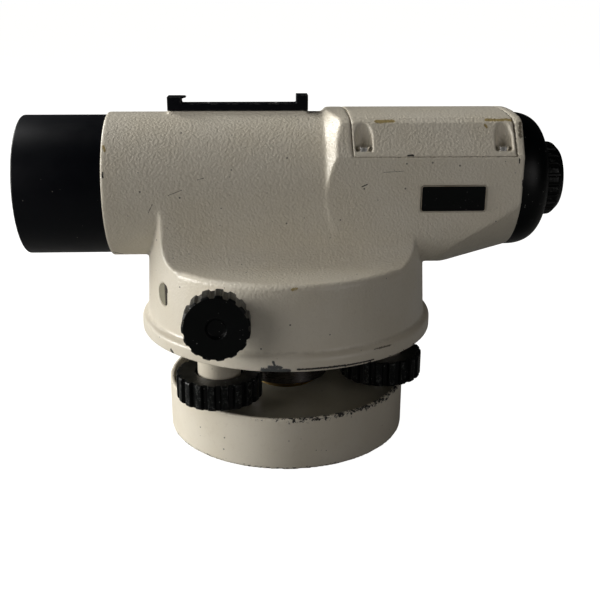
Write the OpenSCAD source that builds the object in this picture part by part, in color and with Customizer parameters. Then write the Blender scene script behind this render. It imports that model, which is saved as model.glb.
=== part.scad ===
// Automatic level: a self-levelling surveyor's telescope on a three-screw tribrach.
// Origin: centre of the tripod thread in the underside of the base. +Z is up, +X runs
// along the telescope from the objective towards the eyepiece.

/* [Base] */
// Outer radius of the base plate
base_r = 45.6; // [42:0.1:50]
// Height of the base plate to the top of its rim
base_h = 19.6; // [18.5:0.1:21]
// Thickness of the raised rim
base_rim_t = 1.6; // [1.2:0.1:2.2]
// Height of the rim above the cover disc
base_rim_h = 2.6; // [1.5:0.1:3]
// Thickness of the base plate's outer wall
base_wall = 4; // [3:0.1:5]
// Depth of the hollow in the underside
base_hollow_h = 6.5; // [4:0.1:7]
// Thickness of the cover disc that holds the foot balls down
cover_disc_t = 1.2; // [1:0.1:1.5]
// Core radius of the tripod thread, 5/8 inch by 11
tripod_r = 6.8; // [6.7:0.05:7]
// Outer radius of the threaded tripod bush
tripod_bush_r = 11.5; // [10:0.1:13]

/* [Foot screws] */
// Distance of the foot screws in from the base plate's wall
foot_inset = 8.6; // [8.6:0.1:9.6]
// Direction of the first foot screw, seen from above
foot_first_angle = -133; // [-140:1:-125]
// Radius of a foot-screw knob
foot_knob_r = 15.6; // [14:0.1:16.5]
// Height of a foot-screw knob
foot_knob_h = 9.5; // [8.5:0.1:11]
// Gap between the base rim and the underside of a knob
foot_knob_gap = 1.9; // [1.5:0.1:2.5]
// Thickness of the web at the bottom of a knob
foot_knob_web = 1.7; // [1.3:0.1:2]
// Number of grip grooves around a knob
foot_knob_grooves = 20; // [16:1:24]
// Radius of a foot ball
foot_ball_r = 4.5; // [4.2:0.1:4.8]
// Radius of the neck above a foot ball
foot_neck_r = 2.8; // [2.4:0.1:3]
// Radius of a foot-screw stem
foot_stem_r = 3.5; // [3:0.1:3.8]
// Radius of a boss that carries a foot screw
foot_boss_r = 7.8; // [7:0.1:8.2]
// Outer radius of a threaded foot bush
foot_bush_r = 5.2; // [4.8:0.1:5.8]
// Outer radius of a steel ball cup
foot_cup_r = 6; // [5.6:0.1:6.5]

/* [Tribrach] */
// Width of the tribrach plate outside its foot-screw bosses
tribrach_margin = 3.2; // [2.4:0.1:4]
// Thickness of the tribrach plate
tribrach_t = 4; // [3.5:0.1:5]
// Radius of the axis sleeve below the plate
sleeve_r = 16.2; // [15:0.1:17]
// Height of the sleeve's lower end above the cover disc
sleeve_gap = 3; // [2.8:0.1:4]
// Radius of the standing-axis spindle
spindle_r = 8; // [7:0.1:9]
// Outer radius of the sleeve's upper neck
neck_r = 13; // [12:0.1:14]
// Gap between the horizontal circle and the tangent shaft above it
circle_gap = 1.5; // [1:0.1:3]
// Radial width of the horizontal circle
circle_w = 6.6; // [5:0.1:7]

/* [Drum] */
// Thickness of the drum wall at its shoulder
drum_wall = 1.8; // [1.6:0.1:2.6]
// How much wider the drum is at its foot than at its shoulder
drum_taper = 1.1; // [0.5:0.1:2]
// Width of the flange outside the drum's foot
flange_w = 2.35; // [1.8:0.05:4]
// Height of the flange
flange_h = 5.2; // [4:0.1:6]
// Height of the flange's underside above the base
flange_z = 41.3; // [39:0.1:45]
// Height of the drum from its underside to its shoulder
drum_h = 29; // [28.5:0.1:30.5]
// Wall thickness of the casting
wall = 3; // [2.5:0.1:3.2]
// Radius of the hollow fillet between the drum top and the pedestal
pedestal_fillet_r = 8; // [6:0.5:9]

/* [Telescope] */
// How far the tube's underside sinks below the drum's shoulder
tube_sink = 2.1; // [1:0.1:2.5]
// Outer radius of the telescope tube
tube_r = 26; // [24:0.1:28]
// Distance from the standing axis to the front of the tube
tube_front = 63.9; // [60:0.1:70]
// Step from the tube in to the objective hood
hood_step = 1; // [0.6:0.1:1.4]
// Length of the objective hood
hood_len = 30.3; // [26:0.1:34]
// Wall thickness of the objective hood
hood_wall = 2.6; // [2:0.1:2.8]
// Width of the ring between the objective lens and the hood's bore
objective_margin = 2.9; // [2.4:0.1:4]

/* [Rear body] */
// How far the rear body stands out of the tube on each flank
rear_side_step = 0.1; // [0.05:0.05:0.6]
// How far the rear body stands above the tube
rear_top_step = 1.1; // [0.8:0.1:2]
// How far the rear body hangs below the tube
rear_bottom_step = 1.2; // [0.6:0.1:2]
// Distance from the standing axis to the circle where the rear body leaves the tube
rear_front_x = 13; // [12:0.1:14]
// Distance from the standing axis to the rear end of the body
rear_end_x = 81.3; // [76:0.1:86]
// Radius of the rear body's lower corners
rear_corner_r = 16; // [15:0.1:17]
// Distance of the top cover behind the circle where the rear body leaves the tube
lid_inset = 9.2; // [8.5:0.1:12]
// Distance from the top cover's lower edge to the rear end of the body
lid_end_gap = 2.9; // [2.4:0.1:5]
// Gap between the reticle tube and the top cover above it
lid_gap = 0.3; // [0.2:0.1:1]

/* [Eyepiece] */
// Step from the rear body's flank in to the eyepiece cover
eye_cover_step = 1.7; // [1.2:0.1:3]
// Length of the eyepiece cover
eye_cover_len = 12.4; // [11.5:0.1:13]
// Outer radius of the eyepiece ring
eye_ring_r = 13.5; // [13:0.1:14]
// Length of the eyepiece ring
eye_ring_len = 8.3; // [7.8:0.1:9]
// Outer radius of the sliding eyepiece cell
eye_cell_r = 11; // [10:0.1:11.5]

/* [Side controls] */
// Radius of a tangent-screw knob
tangent_knob_r = 11.2; // [10:0.1:11.4]
// Width of a tangent-screw knob
tangent_knob_w = 9.5; // [8:0.1:11]
// How far the tangent knobs' inner faces lie within the drum's greatest radius
tangent_knob_inset = 1.5; // [0:0.1:1.9]
// Teeth of the worm wheel
wheel_teeth = 60; // [60:1:60]
// Module of the worm wheel
wheel_module = 0.68; // [0.66:0.01:0.7]
// Pitch radius of the worm
worm_r = 4; // [3.8:0.1:4.2]
// Radius of the focusing knob
focus_knob_r = 14; // [12:0.1:15]
// Width of the focusing knob
focus_knob_w = 13; // [11:0.1:14]
// Distance from the standing axis forward to the focusing shaft
focus_x = 16; // [15:0.1:17]
// Half of the focusing lens's travel
focus_travel = 8; // [6:0.1:8]
// Radius of the control shafts
shaft_r = 2.5; // [2.2:0.1:2.7]

/* [Fittings] */
// Outer radius of the circular level
level_r = 9; // [8.5:0.1:9.2]
// Gap between the circular level and the pedestal's flank
level_gap = 3.1; // [2.6:0.1:5]
// Height of the circular level's housing
level_h = 7.5; // [7:0.1:9]
// Length of the level mirror
mirror_len = 17; // [15:0.1:18]
// Length of the peep sight
sight_len = 50.2; // [46:0.1:52]
// Width of the peep sight
sight_w = 6.4; // [5.5:0.1:7]
// Length of the bare nameplate
plate_len = 22.8; // [20:0.1:24]
// Height of the bare nameplate
plate_h = 9.3; // [8:0.1:10]

/* [Hidden] */
$fn = 96;

// Clearances
cut = 1;                 // how far a cutting tool runs past a face
running = 0.05;          // radial clearance of a shaft in its bush
slide_gap = 0.08;        // radial clearance of a sliding cell in its tube
part_gap = 0.3;          // gap between faces that move past each other
seam = 0.15;             // seam around the top cover
skirt_gap = 1;           // radial gap between the tribrach and the drum's skirt
skirt_step = 0.6;        // radial step from the skirt's bore to the drum's

// Circles round the standing axis, each built up from the one before
foot_circle_r = base_r - foot_inset;
tribrach_r = foot_circle_r + foot_boss_r + tribrach_margin;
skirt_r = tribrach_r + skirt_gap;
drum_in_r = skirt_r + skirt_step;
drum_top_r = drum_in_r + drum_wall;
drum_r = drum_top_r + drum_taper;
flange_r = drum_r + flange_w;

// Telescope sizes that follow the tube
drum_z1 = flange_z + drum_h;
sight_z = drum_z1 + tube_r - tube_sink;
hood_r = tube_r - hood_step;
objective_r = hood_r - hood_wall - objective_margin;
rear_half_w = tube_r + rear_side_step;
rear_top_z = sight_z + tube_r + rear_top_step;
rear_bottom_z = sight_z - tube_r - rear_bottom_step;

// Base and foot screws
disc_z0 = base_h - base_rim_h - cover_disc_t;
disc_z1 = base_h - base_rim_h;
ball_drop = 2.9;                                    // ball centre below the cover disc
ball_z = disc_z0 - ball_drop;
ball_cut_r = sqrt(pow(foot_ball_r, 2) - pow(ball_drop, 2));
disc_hole_r = ball_cut_r + 0.15;
cup_floor = 1.5;
cup_z0 = ball_z - foot_ball_r - cup_floor;
cup_boss_r = foot_cup_r + 2.5;
bush_boss_r = tripod_bush_r + 4;
m3_r = 1.5;
m3_head_r = 2.75;
m3_head_h = 2;
m25_r = 1.25;
m25_head_r = 2.25;
m25_head_h = 1.5;
screw_play = 0.1;                                   // radial play of a screw in its hole
disc_screw_r = (bush_boss_r + base_r - base_wall) / 2;
knob_z0 = base_h + foot_knob_gap;
knob_z1 = knob_z0 + foot_knob_h;
knob_groove_r = 1.15;
knob_edge = 0.9;
boss_play = 1;                                      // boss to knob bore, radially
boss_drop = 5;                                      // how deep a boss reaches into its knob
neck_split = 2.2;                                   // third neck's joint below its knob

// Tribrach
tribrach_z0 = flange_z + 0.7;
tribrach_z1 = tribrach_z0 + tribrach_t;
boss_z0 = knob_z1 - boss_drop;
stem_z1 = tribrach_z1 - 2.5;
sleeve_z0 = disc_z1 + sleeve_gap;
sleeve_flange_r = sleeve_r + 5.8;
sleeve_flange_h = 3;
sleeve_screw_r = (sleeve_r + sleeve_flange_r) / 2;
circle_r = tribrach_r - 0.4;
circle_bevel = 3;

// Drum and pedestal
shoulder_r = 2.2;
pedestal_half_w = tube_r - 0.1;
tube_bore_r = tube_r - 3.2;
ceiling_z = sight_z - tube_bore_r - 4.6;
roof_z = min(drum_z1 - wall, ceiling_z);
pocket_half_w = pedestal_half_w - wall;

// Axis stack under the ceiling
bearing_t = 4;
bearing_r = 18;
bearing_z0 = ceiling_z - bearing_t;
bearing_screw_r = 14;
neck_z1 = bearing_z0 - part_gap;
nut_t = 0.85;
washer_t = 0.6;
wheel_t = 3.5;
wheel_z0 = neck_z1 - nut_t - part_gap - washer_t - wheel_t;
shelf_z = wheel_z0 - part_gap;
wheel_z = wheel_z0 + wheel_t / 2;
circle_h = wheel_z - shaft_r - circle_gap - tribrach_z1;
clutch_r = neck_r + 4;
spindle_z0 = sleeve_z0 + 0.8;
spindle_nut_r = spindle_r + 3;
spindle_nut_t = 2.6;
counterbore_r = spindle_nut_r + 0.6;
counterbore_h = spindle_nut_t + 1.6;

// Worm drive
wheel_r = wheel_module * wheel_teeth / 2;
tooth_add = 0.6;
tooth_ded = 0.8;
tooth_w = 0.75;                                     // tooth thickness at the pitch line
worm_pitch = PI * wheel_module;
worm_x = -(wheel_r + worm_r);
worm_len = 12;
worm_phase = -90;                                   // turns the thread into mesh with the wheel
worm_core_r = worm_r - tooth_ded;
bush_wall = 1;
control_bush_r = shaft_r + running + bush_wall;
tangent_boss_r = 7;
tangent_knob_y = drum_r - tangent_knob_inset;
knob_gap = 0.8;                                     // between a control knob and its boss
tangent_boss_y = tangent_knob_y - knob_gap;
tangent_dimple_r = 3.3;
tangent_lobes = 15;

// Focusing
pinion_module = 0.5;
pinion_teeth = 10;
pinion_r = pinion_module * pinion_teeth / 2;
rack_y1 = tube_bore_r - 1.6;
rack_y0 = rack_y1 - 4;
pinion_y0 = rack_y0 + 0.2;
pinion_y1 = rack_y1 - 0.2;
rack_add = 0.25;
rack_tooth_w = 0.56;
rack_z = sight_z - pinion_r;
rack_t = 3.4;
focus_cell_len = 14;
focus_cell_x1 = -focus_x - pinion_r - focus_travel - 3.5;
focus_lens_r = tube_bore_r - 7.8;
focus_lens_t = 4.8;
focus_lens_rim = 3;
focus_boss_r = 8;
focus_boss_y = tube_r + 1.2;
focus_knob_y = focus_boss_y + knob_gap;

// Telescope
hood_x0 = -tube_front - hood_len;
cell_front_len = 14;
cell_back_len = 10;
cell_front = -tube_front - cell_front_len;
cell_back = -tube_front + cell_back_len;
lens_lip = 0.9;                                     // how far a lens seat reaches over the glass
lens_play = 0.05;
hood_thread_r = hood_r - hood_wall + 0.3;
objective_t = 6;
objective_x = -tube_front - 8;
objective_sag = 1.2;                                // depth of each lens face
retainer_t = 2.4;

// Rear body
eye_z = sight_z + 1.2;
reticle_tube_r = eye_cell_r + 1.1;
rear_front_slope = 1;                               // front cone: rise along x per radius
rear_cone_z = sight_z + 3.8;                        // axis of the lower rear cone
rear_cone_r = rear_half_w + 0.7;
rear_cone_slope = 0.27;
rear_edge_r = 2;
rear_wall = 3.1;
rear_cavity_x0 = rear_front_x + 7.5;
rear_cavity_x1 = rear_end_x - 4;
lid_z = eye_z + reticle_tube_r + lid_gap;
lid_x0 = rear_front_x + lid_inset;
lid_x1 = rear_end_x - lid_end_gap;
lid_len = lid_x1 - lid_x0;
lid_slant = 0.6;                                    // lean of the cover's ends
lid_lean = 31.5;                                    // lean of both flanks above the cover's lower edge
lid_dome_r = 105;                                   // radius of the arched top
lid_bevel = 1.3;
lid_roof = 3;
screw_post_w = 7.5;                                 // post at each corner for the cover screws
screw_post_len = 9;
screw_post_h = 9;
pocket_r = 2.9;
pocket_seat_z = lid_z + 1.6;
pocket_seat_y = rear_half_w - 4;
pocket_x = [lid_x0 + 3.7, lid_x1 - 4.2];
cover_screw_len = 8.5;

// Eyepiece
eye_cover_r = rear_half_w - eye_cover_step;
eye_dome_r = eye_cover_len + 0.2;
eye_ring_x0 = rear_end_x + eye_cover_len - 1.2;
eye_port_r = eye_ring_r + 0.7;
reticle_inner_len = 12;
reticle_outer_len = 6.5;
reticle_x0 = rear_end_x - reticle_inner_len;
reticle_x1 = rear_end_x + reticle_outer_len;
reticle_floor = 1;
reticle_r = 8;
reticle_t = 2;
eye_cell_x0 = reticle_x0 + 6;
eye_cell_x1 = eye_ring_x0 + 4.6;
eye_lens_r = 8;
eye_lens_t = 4.6;
eye_lens_rim = 2.6;

// Fittings
level_y = pedestal_half_w + level_r + level_gap;
level_edge = 8.46;                                  // level's centre inside the drum's shoulder
level_x = sqrt(max(0, pow(drum_top_r - level_edge, 2) - pow(level_y, 2)));
level_z0 = drum_z1 + 2.5;
level_recess_gap = 0.3;
vial_r = level_r - 1.8;
vial_h = 5.5;
mirror_w = 15;
mirror_t = 1.6;
mirror_hinge_x = level_x - level_r - 1.2;
mirror_hinge_z = level_z0 + level_h + 1.4;
mirror_pin_r = 1;
mirror_angle = 45;
ear_r = 1.9;
ear_t = 1.6;
sight_end_gap = 5.1;                                // from the peep sight to the rear body
sight_x0 = rear_front_x - sight_end_gap - sight_len;
sight_pad_t = 0.6;
sight_bar_t = 2.6;
sight_z0 = sight_z + tube_r + sight_pad_t;
sight_post_h = 3;
sight_post_w = [5, 4.2];
m2_r = 1;
m2_head_r = 1.8;
m2_head_h = 1.2;
peep_screw_len = 4.2;
peep_sink = 0.2;                                    // screw heads below the bar's face
plate_t = 0.8;
plate_recess = 0.5;
plate_x = rear_end_x - 24.1;
plate_z = sight_z - 0.9;
window_angle = -148.5;
window_z = drum_z1 - 10.3;
window_r = 4;
window_flat = 2.6;
window_glass_t = 1;

// Compensator
comp_x = rear_front_x + 23;
comp_half_len = 10;
comp_lug_half_len = 4;
comp_half_w = rear_half_w - rear_wall - 5;
comp_cheek_t = 3;
comp_z1 = sight_z + 18;
comp_bar_t = 4;
comp_lug_h = 6;
pend_half_len = 7;
pend_half_w = comp_half_w - comp_cheek_t - 3;
pend_half_h = 10;
pend_gap = 1;
comp_z0 = sight_z - pend_half_h - pend_gap - comp_bar_t;
pend_bore_r = 8;
wire_r = 0.25;
prism_half_len = 5;
prism_half_w = pend_half_w - 3;
prism_half_h = 9;

function foot_angle(i) = foot_first_angle + 120 * i;

// Outline of a gear with straight-flanked teeth, one tooth centred on the +X axis.
function gear_points(pitch_r, teeth, add, ded, thickness) = [
    for (i = [0 : teeth - 1], c = [[-1, -1], [-1, 1], [1, 1], [1, -1]])
        let (
            half = thickness / 2 - c[1] * tan(20) * (c[1] > 0 ? add : ded),
            r = c[1] > 0 ? pitch_r + add : pitch_r - ded,
            a = 360 * i / teeth + c[0] * half / pitch_r * 180 / PI
        )
        [r * cos(a), r * sin(a)]
];

module ring(r_out, r_in, h) {
    difference() {
        cylinder(r = r_out, h = h);
        translate([0, 0, -cut]) cylinder(r = r_in, h = h + 2 * cut);
    }
}

module foot_at(i) {
    rotate([0, 0, foot_angle(i)]) translate([foot_circle_r, 0, 0]) children();
}

module at_feet() {
    for (i = [0 : 2]) foot_at(i) children();
}

module between_feet(r) {
    for (i = [0 : 2]) rotate([0, 0, foot_angle(i) + 60]) translate([r, 0, 0]) children();
}

// Local +Z becomes +X, from the point x on the axis at height z.
module along_x(x, z = sight_z) {
    translate([x, 0, z]) rotate([0, 90, 0]) children();
}

// Local +Z becomes -Y for side -1 and +Y for side 1.
module along_y(x, y, z, side) {
    translate([x, side * y, z]) rotate([side < 0 ? 90 : -90, 0, 0]) children();
}

// A screw with its head's seat at z = 0 and its head above.
module screw(r, len, head_r, head_h) {
    difference() {
        union() {
            translate([0, 0, -len]) cylinder(r = r, h = len + head_h / 2);
            cylinder(r = head_r, h = head_h);
        }
        translate([-head_r - cut, -0.25, head_h - 0.5]) cube([2 * head_r + 2 * cut, 0.5, 1]);
    }
}

// ---------------------------------------------------------------- base

module base_plate() {
    color("ivory") difference() {
        cylinder(r = base_r, h = base_h);
        translate([0, 0, disc_z0]) cylinder(r = base_r - base_rim_t, h = base_h);
        translate([0, 0, -cut]) cylinder(r = tripod_bush_r, h = base_h);
        difference() {
            translate([0, 0, -cut]) ring(base_r - base_wall, bush_boss_r, base_hollow_h + cut);
            at_feet() translate([0, 0, -2 * cut]) cylinder(r = cup_boss_r, h = base_h);
        }
        at_feet() translate([0, 0, cup_z0]) cylinder(r = foot_cup_r, h = base_h);
        between_feet(disc_screw_r) cylinder(r = m3_r + screw_play, h = base_h);
    }
}

module tripod_bush() {
    color("darkgoldenrod") ring(tripod_bush_r, tripod_r, disc_z1);
}

module cover_disc() {
    color("ivory") translate([0, 0, disc_z0]) difference() {
        cylinder(r = base_r - base_rim_t - 0.1, h = cover_disc_t);
        translate([0, 0, -cut]) cylinder(r = tripod_bush_r + 0.1, h = cover_disc_t + 2 * cut);
        at_feet() translate([0, 0, -cut]) cylinder(r = disc_hole_r, h = cover_disc_t + 2 * cut);
        between_feet(disc_screw_r) translate([0, 0, -cut]) cylinder(r = m3_r, h = cut + cover_disc_t - 0.3);
    }
}

module cover_disc_screws() {
    color("silver") between_feet(disc_screw_r) translate([0, 0, base_hollow_h]) mirror([0, 0, 1])
        screw(m3_r, disc_z1 - 0.3 - base_hollow_h, m3_head_r, m3_head_h);
}

module foot_cups() {
    color("gray") at_feet() difference() {
        translate([0, 0, cup_z0]) cylinder(r = foot_cup_r, h = disc_z0 - cup_z0);
        translate([0, 0, ball_z]) sphere(r = foot_ball_r + running);
        translate([0, 0, ball_z]) cylinder(r = foot_ball_r + running, h = disc_z0);
    }
}

// ---------------------------------------------------------------- foot screws

module foot_ball(i, neck_top) {
    color("silver") foot_at(i) {
        translate([0, 0, ball_z]) sphere(r = foot_ball_r);
        translate([0, 0, ball_z]) cylinder(r = foot_neck_r, h = neck_top - ball_z);
    }
}

module foot_ball_a() {
    foot_ball(0, knob_z0);
}

module foot_ball_b() {
    foot_ball(1, knob_z0);
}

module foot_ball_c() {
    foot_ball(2, knob_z0 - neck_split);
}

module foot_neck_c() {
    color("silver") foot_at(2) translate([0, 0, knob_z0 - neck_split + part_gap])
        cylinder(r = foot_neck_r, h = neck_split - part_gap);
}

module foot_stem(i) {
    color("silver") foot_at(i) translate([0, 0, knob_z0]) cylinder(r = foot_stem_r, h = stem_z1 - knob_z0);
}

module foot_stem_a() {
    foot_stem(0);
}

module foot_stem_b() {
    foot_stem(1);
}

module foot_stem_c() {
    foot_stem(2);
}

// A disc with chamfered rims and round grip grooves, standing on z = 0.
module grooved_disc(r, h, grooves, groove_r, edge) {
    difference() {
        rotate_extrude() polygon([[0, 0], [r - edge, 0], [r, edge], [r, h - edge], [r - edge, h], [0, h]]);
        for (k = [0 : grooves - 1]) rotate([0, 0, 360 * (k + 0.5) / grooves])
            translate([r + 0.25 * groove_r, 0, -cut]) cylinder(r = groove_r, h = h + 2 * cut, $fn = 24);
    }
}

module foot_knob(i) {
    color("#15181a") foot_at(i) translate([0, 0, knob_z0]) difference() {
        grooved_disc(foot_knob_r, foot_knob_h, foot_knob_grooves, knob_groove_r, knob_edge);
        translate([0, 0, -cut]) cylinder(r = foot_stem_r, h = foot_knob_h);
        translate([0, 0, foot_knob_web]) cylinder(r = foot_boss_r + boss_play, h = foot_knob_h);
    }
}

module foot_knob_a() {
    foot_knob(0);
}

module foot_knob_b() {
    foot_knob(1);
}

module foot_knob_c() {
    foot_knob(2);
}

// ---------------------------------------------------------------- tribrach

module tribrach_plate() {
    color("ivory") difference() {
        union() {
            translate([0, 0, tribrach_z0]) cylinder(r = tribrach_r, h = tribrach_t);
            at_feet() translate([0, 0, boss_z0]) cylinder(r = foot_boss_r, h = tribrach_z0 + 1 - boss_z0);
        }
        translate([0, 0, tribrach_z0 - cut]) cylinder(r = sleeve_r, h = tribrach_t + 2 * cut);
        at_feet() translate([0, 0, boss_z0 - cut])
            cylinder(r = foot_bush_r, h = tribrach_z1 - boss_z0 + 2 * cut);
        between_feet(sleeve_screw_r) translate([0, 0, tribrach_z0 + 1]) cylinder(r = m25_r, h = tribrach_t);
    }
}

module foot_bushes() {
    color("darkgoldenrod") at_feet() translate([0, 0, boss_z0])
        ring(foot_bush_r, foot_stem_r + running, tribrach_z1 - boss_z0);
}

module axis_sleeve() {
    color("dimgray") difference() {
        union() {
            translate([0, 0, sleeve_z0]) cylinder(r = sleeve_r, h = shelf_z - sleeve_z0);
            translate([0, 0, tribrach_z1]) cylinder(r = sleeve_flange_r, h = sleeve_flange_h);
            translate([0, 0, sleeve_z0]) cylinder(r = neck_r, h = neck_z1 - sleeve_z0);
        }
        translate([0, 0, sleeve_z0 - cut]) cylinder(r = spindle_r + running, h = neck_z1);
        translate([0, 0, sleeve_z0 - cut]) cylinder(r = counterbore_r, h = counterbore_h + cut);
        between_feet(sleeve_screw_r) translate([0, 0, tribrach_z1 - cut])
            cylinder(r = m25_r + screw_play, h = sleeve_flange_h + 2 * cut);
    }
}

module sleeve_screws() {
    color("silver") between_feet(sleeve_screw_r) translate([0, 0, tribrach_z1 + sleeve_flange_h])
        screw(m25_r, tribrach_t + sleeve_flange_h - 1, m25_head_r, m25_head_h);
}

module horizontal_circle() {
    color("gainsboro") translate([0, 0, tribrach_z1]) rotate_extrude() polygon([
        [circle_r - circle_w, 0], [circle_r, 0], [circle_r, circle_h - circle_bevel],
        [circle_r - circle_bevel, circle_h], [circle_r - circle_w, circle_h]]);
}

module clutch_nut() {
    color("dimgray") translate([0, 0, neck_z1 - nut_t]) ring(clutch_r, neck_r, nut_t);
}

// ---------------------------------------------------------------- worm wheel

module worm_wheel() {
    color("goldenrod") translate([0, 0, wheel_z0]) difference() {
        linear_extrude(wheel_t) rotate(180)
            polygon(gear_points(wheel_r, wheel_teeth, tooth_add, tooth_ded, tooth_w));
        translate([0, 0, -cut]) cylinder(r = neck_r + running, h = wheel_t + 2 * cut);
    }
}

module clutch_washer() {
    color("silver") translate([0, 0, wheel_z0 + wheel_t]) ring(clutch_r, neck_r + running, washer_t);
}

// ---------------------------------------------------------------- housing

// Half section of the drum: flange, hollow fillet, tapered wall and round shoulder.
module drum_section() {
    flange_top = flange_z + flange_h;
    round_r = 1.4;
    blend_r = flange_r - drum_r;
    difference() {
        union() {
            polygon([[0, flange_z], [drum_r, flange_z], [drum_r, flange_top],
                [drum_top_r, drum_z1 - shoulder_r], [0, drum_z1 - shoulder_r]]);
            translate([0, flange_z]) square([drum_top_r - shoulder_r, drum_h]);
            translate([drum_top_r - shoulder_r, drum_z1 - shoulder_r]) circle(r = shoulder_r);
            translate([0, flange_z]) square([flange_r - round_r, flange_h]);
            translate([0, flange_z]) square([flange_r, flange_h - round_r]);
            translate([flange_r - round_r, flange_top - round_r]) circle(r = round_r);
            translate([0, flange_top - 0.01]) square([drum_r + blend_r / 2, blend_r / 2]);
        }
        translate([drum_r + blend_r / 2, flange_top + blend_r / 2]) circle(r = blend_r / 2);
    }
}

// Cross-section of the rear body: a box with small top edges and large lower corners, inset by g.
module rear_section(g, top_z) {
    z_mid = rear_bottom_z + rear_corner_r;
    w = rear_half_w - g;
    c = rear_corner_r - g;
    e = rear_edge_r;
    translate([-w, z_mid]) square([2 * w, top_z - z_mid - e]);
    translate([-w + e, z_mid]) square([2 * (w - e), top_z - z_mid]);
    translate([-w + c, z_mid - c]) square([2 * (w - c), c + 1]);
    for (s = [-1, 1]) {
        translate([s * (w - e), top_z - e]) circle(r = e);
        translate([s * (w - c), z_mid]) circle(r = c);
    }
}

// The rear body from x0 to x1, inset by g, with its lower end turned down to a cone.
module rear_block(g, x0, x1, top_z) {
    w = rear_half_w;
    difference() {
        translate([x0, 0, 0]) rotate([90, 0, 90]) linear_extrude(x1 - x0) rear_section(g, top_z);
        difference() {
            translate([x0 - cut, -w - cut, rear_bottom_z - cut])
                cube([x1 - x0 + 2 * cut, 2 * w + 2 * cut, rear_cone_z - rear_bottom_z + cut]);
            along_x(x0 - 2 * cut, rear_cone_z) cylinder(
                r1 = rear_cone_r - g + rear_cone_slope * (rear_end_x - x0 + 2 * cut),
                r2 = rear_cone_r - g + rear_cone_slope * (rear_end_x - x1 - 2 * cut),
                h = x1 - x0 + 4 * cut);
        }
    }
}

// Width of the rear body above the cover's lower edge: flanks that lean in, bevelled to an arched top.
module roof_section() {
    z_dome = rear_top_z - lid_dome_r;
    rise = (lid_z - z_dome) * cos(lid_lean) - rear_half_w * sin(lid_lean);
    run = sqrt(pow(rise, 2) - pow(rear_half_w, 2) - pow(lid_z - z_dome, 2) + pow(lid_dome_r, 2)) - rise - lid_bevel;
    y1 = rear_half_w - run * sin(lid_lean);
    z1 = lid_z + run * cos(lid_lean);
    y2 = y1 - 6 * sin(lid_lean + 30);
    z2 = z1 + 6 * cos(lid_lean + 30);
    intersection() {
        translate([0, z_dome]) circle(r = lid_dome_r, $fn = 480);
        polygon([
            [-rear_half_w - cut, rear_bottom_z - cut], [rear_half_w + cut, rear_bottom_z - cut],
            [rear_half_w + cut, lid_z - cut / tan(lid_lean)], [y1, z1], [y2, z2], [y2, z2 + 5],
            [-y2, z2 + 5], [-y2, z2], [-y1, z1], [-rear_half_w - cut, lid_z - cut / tan(lid_lean)]]);
    }
}

// The solid outside of the rear body, before the cover is split off.
module rear_solid() {
    intersection() {
        rear_block(0, rear_front_x, rear_end_x, rear_top_z + 2 * rear_edge_r);
        translate([rear_front_x - cut, 0, 0]) rotate([90, 0, 90])
            linear_extrude(rear_end_x - rear_front_x + 2 * cut) roof_section();
        along_x(0) rotate_extrude() polygon([
            [0, rear_front_x], [tube_r, rear_front_x],
            [2 * tube_r, rear_front_x + rear_front_slope * tube_r],
            [2 * tube_r, rear_end_x + cut], [0, rear_end_x + cut]]);
    }
}

// The pedestal: hollow fillets along both flanks, ended by the drum's own round wall.
module pedestal_solid() {
    f = pedestal_fillet_r;
    w = pedestal_half_w;
    intersection() {
        translate([-drum_r, 0, 0]) rotate([90, 0, 90]) linear_extrude(2 * drum_r) difference() {
            translate([-w - f, drum_z1 - wall]) square([2 * (w + f), sight_z - drum_z1 + wall]);
            for (s = [-1, 1]) {
                translate([s * (w + f), drum_z1 + f]) circle(r = f);
                translate([s > 0 ? w : -w - 2 * f, drum_z1 + f]) square([2 * f, sight_z]);
            }
        }
        translate([0, 0, drum_z1 - wall - cut]) cylinder(r = drum_top_r - 0.05, h = sight_z);
    }
}

// Prism over the cover's side outline, grown by g.
module lid_zone(g) {
    z1 = rear_top_z + cut;
    lean = lid_slant * (z1 - lid_z) / (rear_top_z - lid_z);
    translate([0, rear_half_w + cut, 0]) rotate([90, 0, 0]) linear_extrude(2 * rear_half_w + 2 * cut)
        polygon([[lid_x0 - g, lid_z], [lid_x1 + g, lid_z], [lid_x1 + g - lean, z1], [lid_x0 - g - lean, z1]]);
}

// Places children at the four cover screws, local +Z along the screw and out of its pocket.
module at_cover_screws() {
    for (x = pocket_x, s = [0, 1]) mirror([0, s, 0])
        translate([x, -pocket_seat_y, pocket_seat_z]) children();
}

module rear_cavity() {
    post_z = lid_z - screw_post_h;
    difference() {
        rear_block(rear_wall, rear_cavity_x0, rear_cavity_x1, lid_z + 2 * rear_edge_r);
        for (x = [rear_cavity_x0 - cut, lid_x1 - screw_post_len], s = [0, 1]) mirror([0, s, 0])
            translate([x, -rear_half_w, post_z])
                cube([lid_x0 + screw_post_len - rear_cavity_x0 + cut, screw_post_w, 2 * screw_post_h]);
    }
}

module housing_outside() {
    rotate_extrude() drum_section();
    pedestal_solid();
    along_x(-tube_front) cylinder(r = tube_r, h = tube_front + rear_front_x + 10);
    rear_solid();
    for (s = [-1, 1]) along_y(worm_x, tangent_boss_y - 8, wheel_z, s) cylinder(r = tangent_boss_r, h = 8);
    along_y(-focus_x, focus_boss_y - 6, sight_z, 1) cylinder(r = focus_boss_r, h = 6);
    translate([sight_x0 + 0.4, -sight_w / 2 - 0.8, sight_z + tube_r - 2])
        cube([sight_len - 0.8, sight_w + 1.6, 2 + sight_pad_t]);
    translate([level_x, level_y, drum_z1 - wall]) cylinder(r = level_r + 0.5, h = level_z0 - drum_z1 + wall);
}

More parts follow.
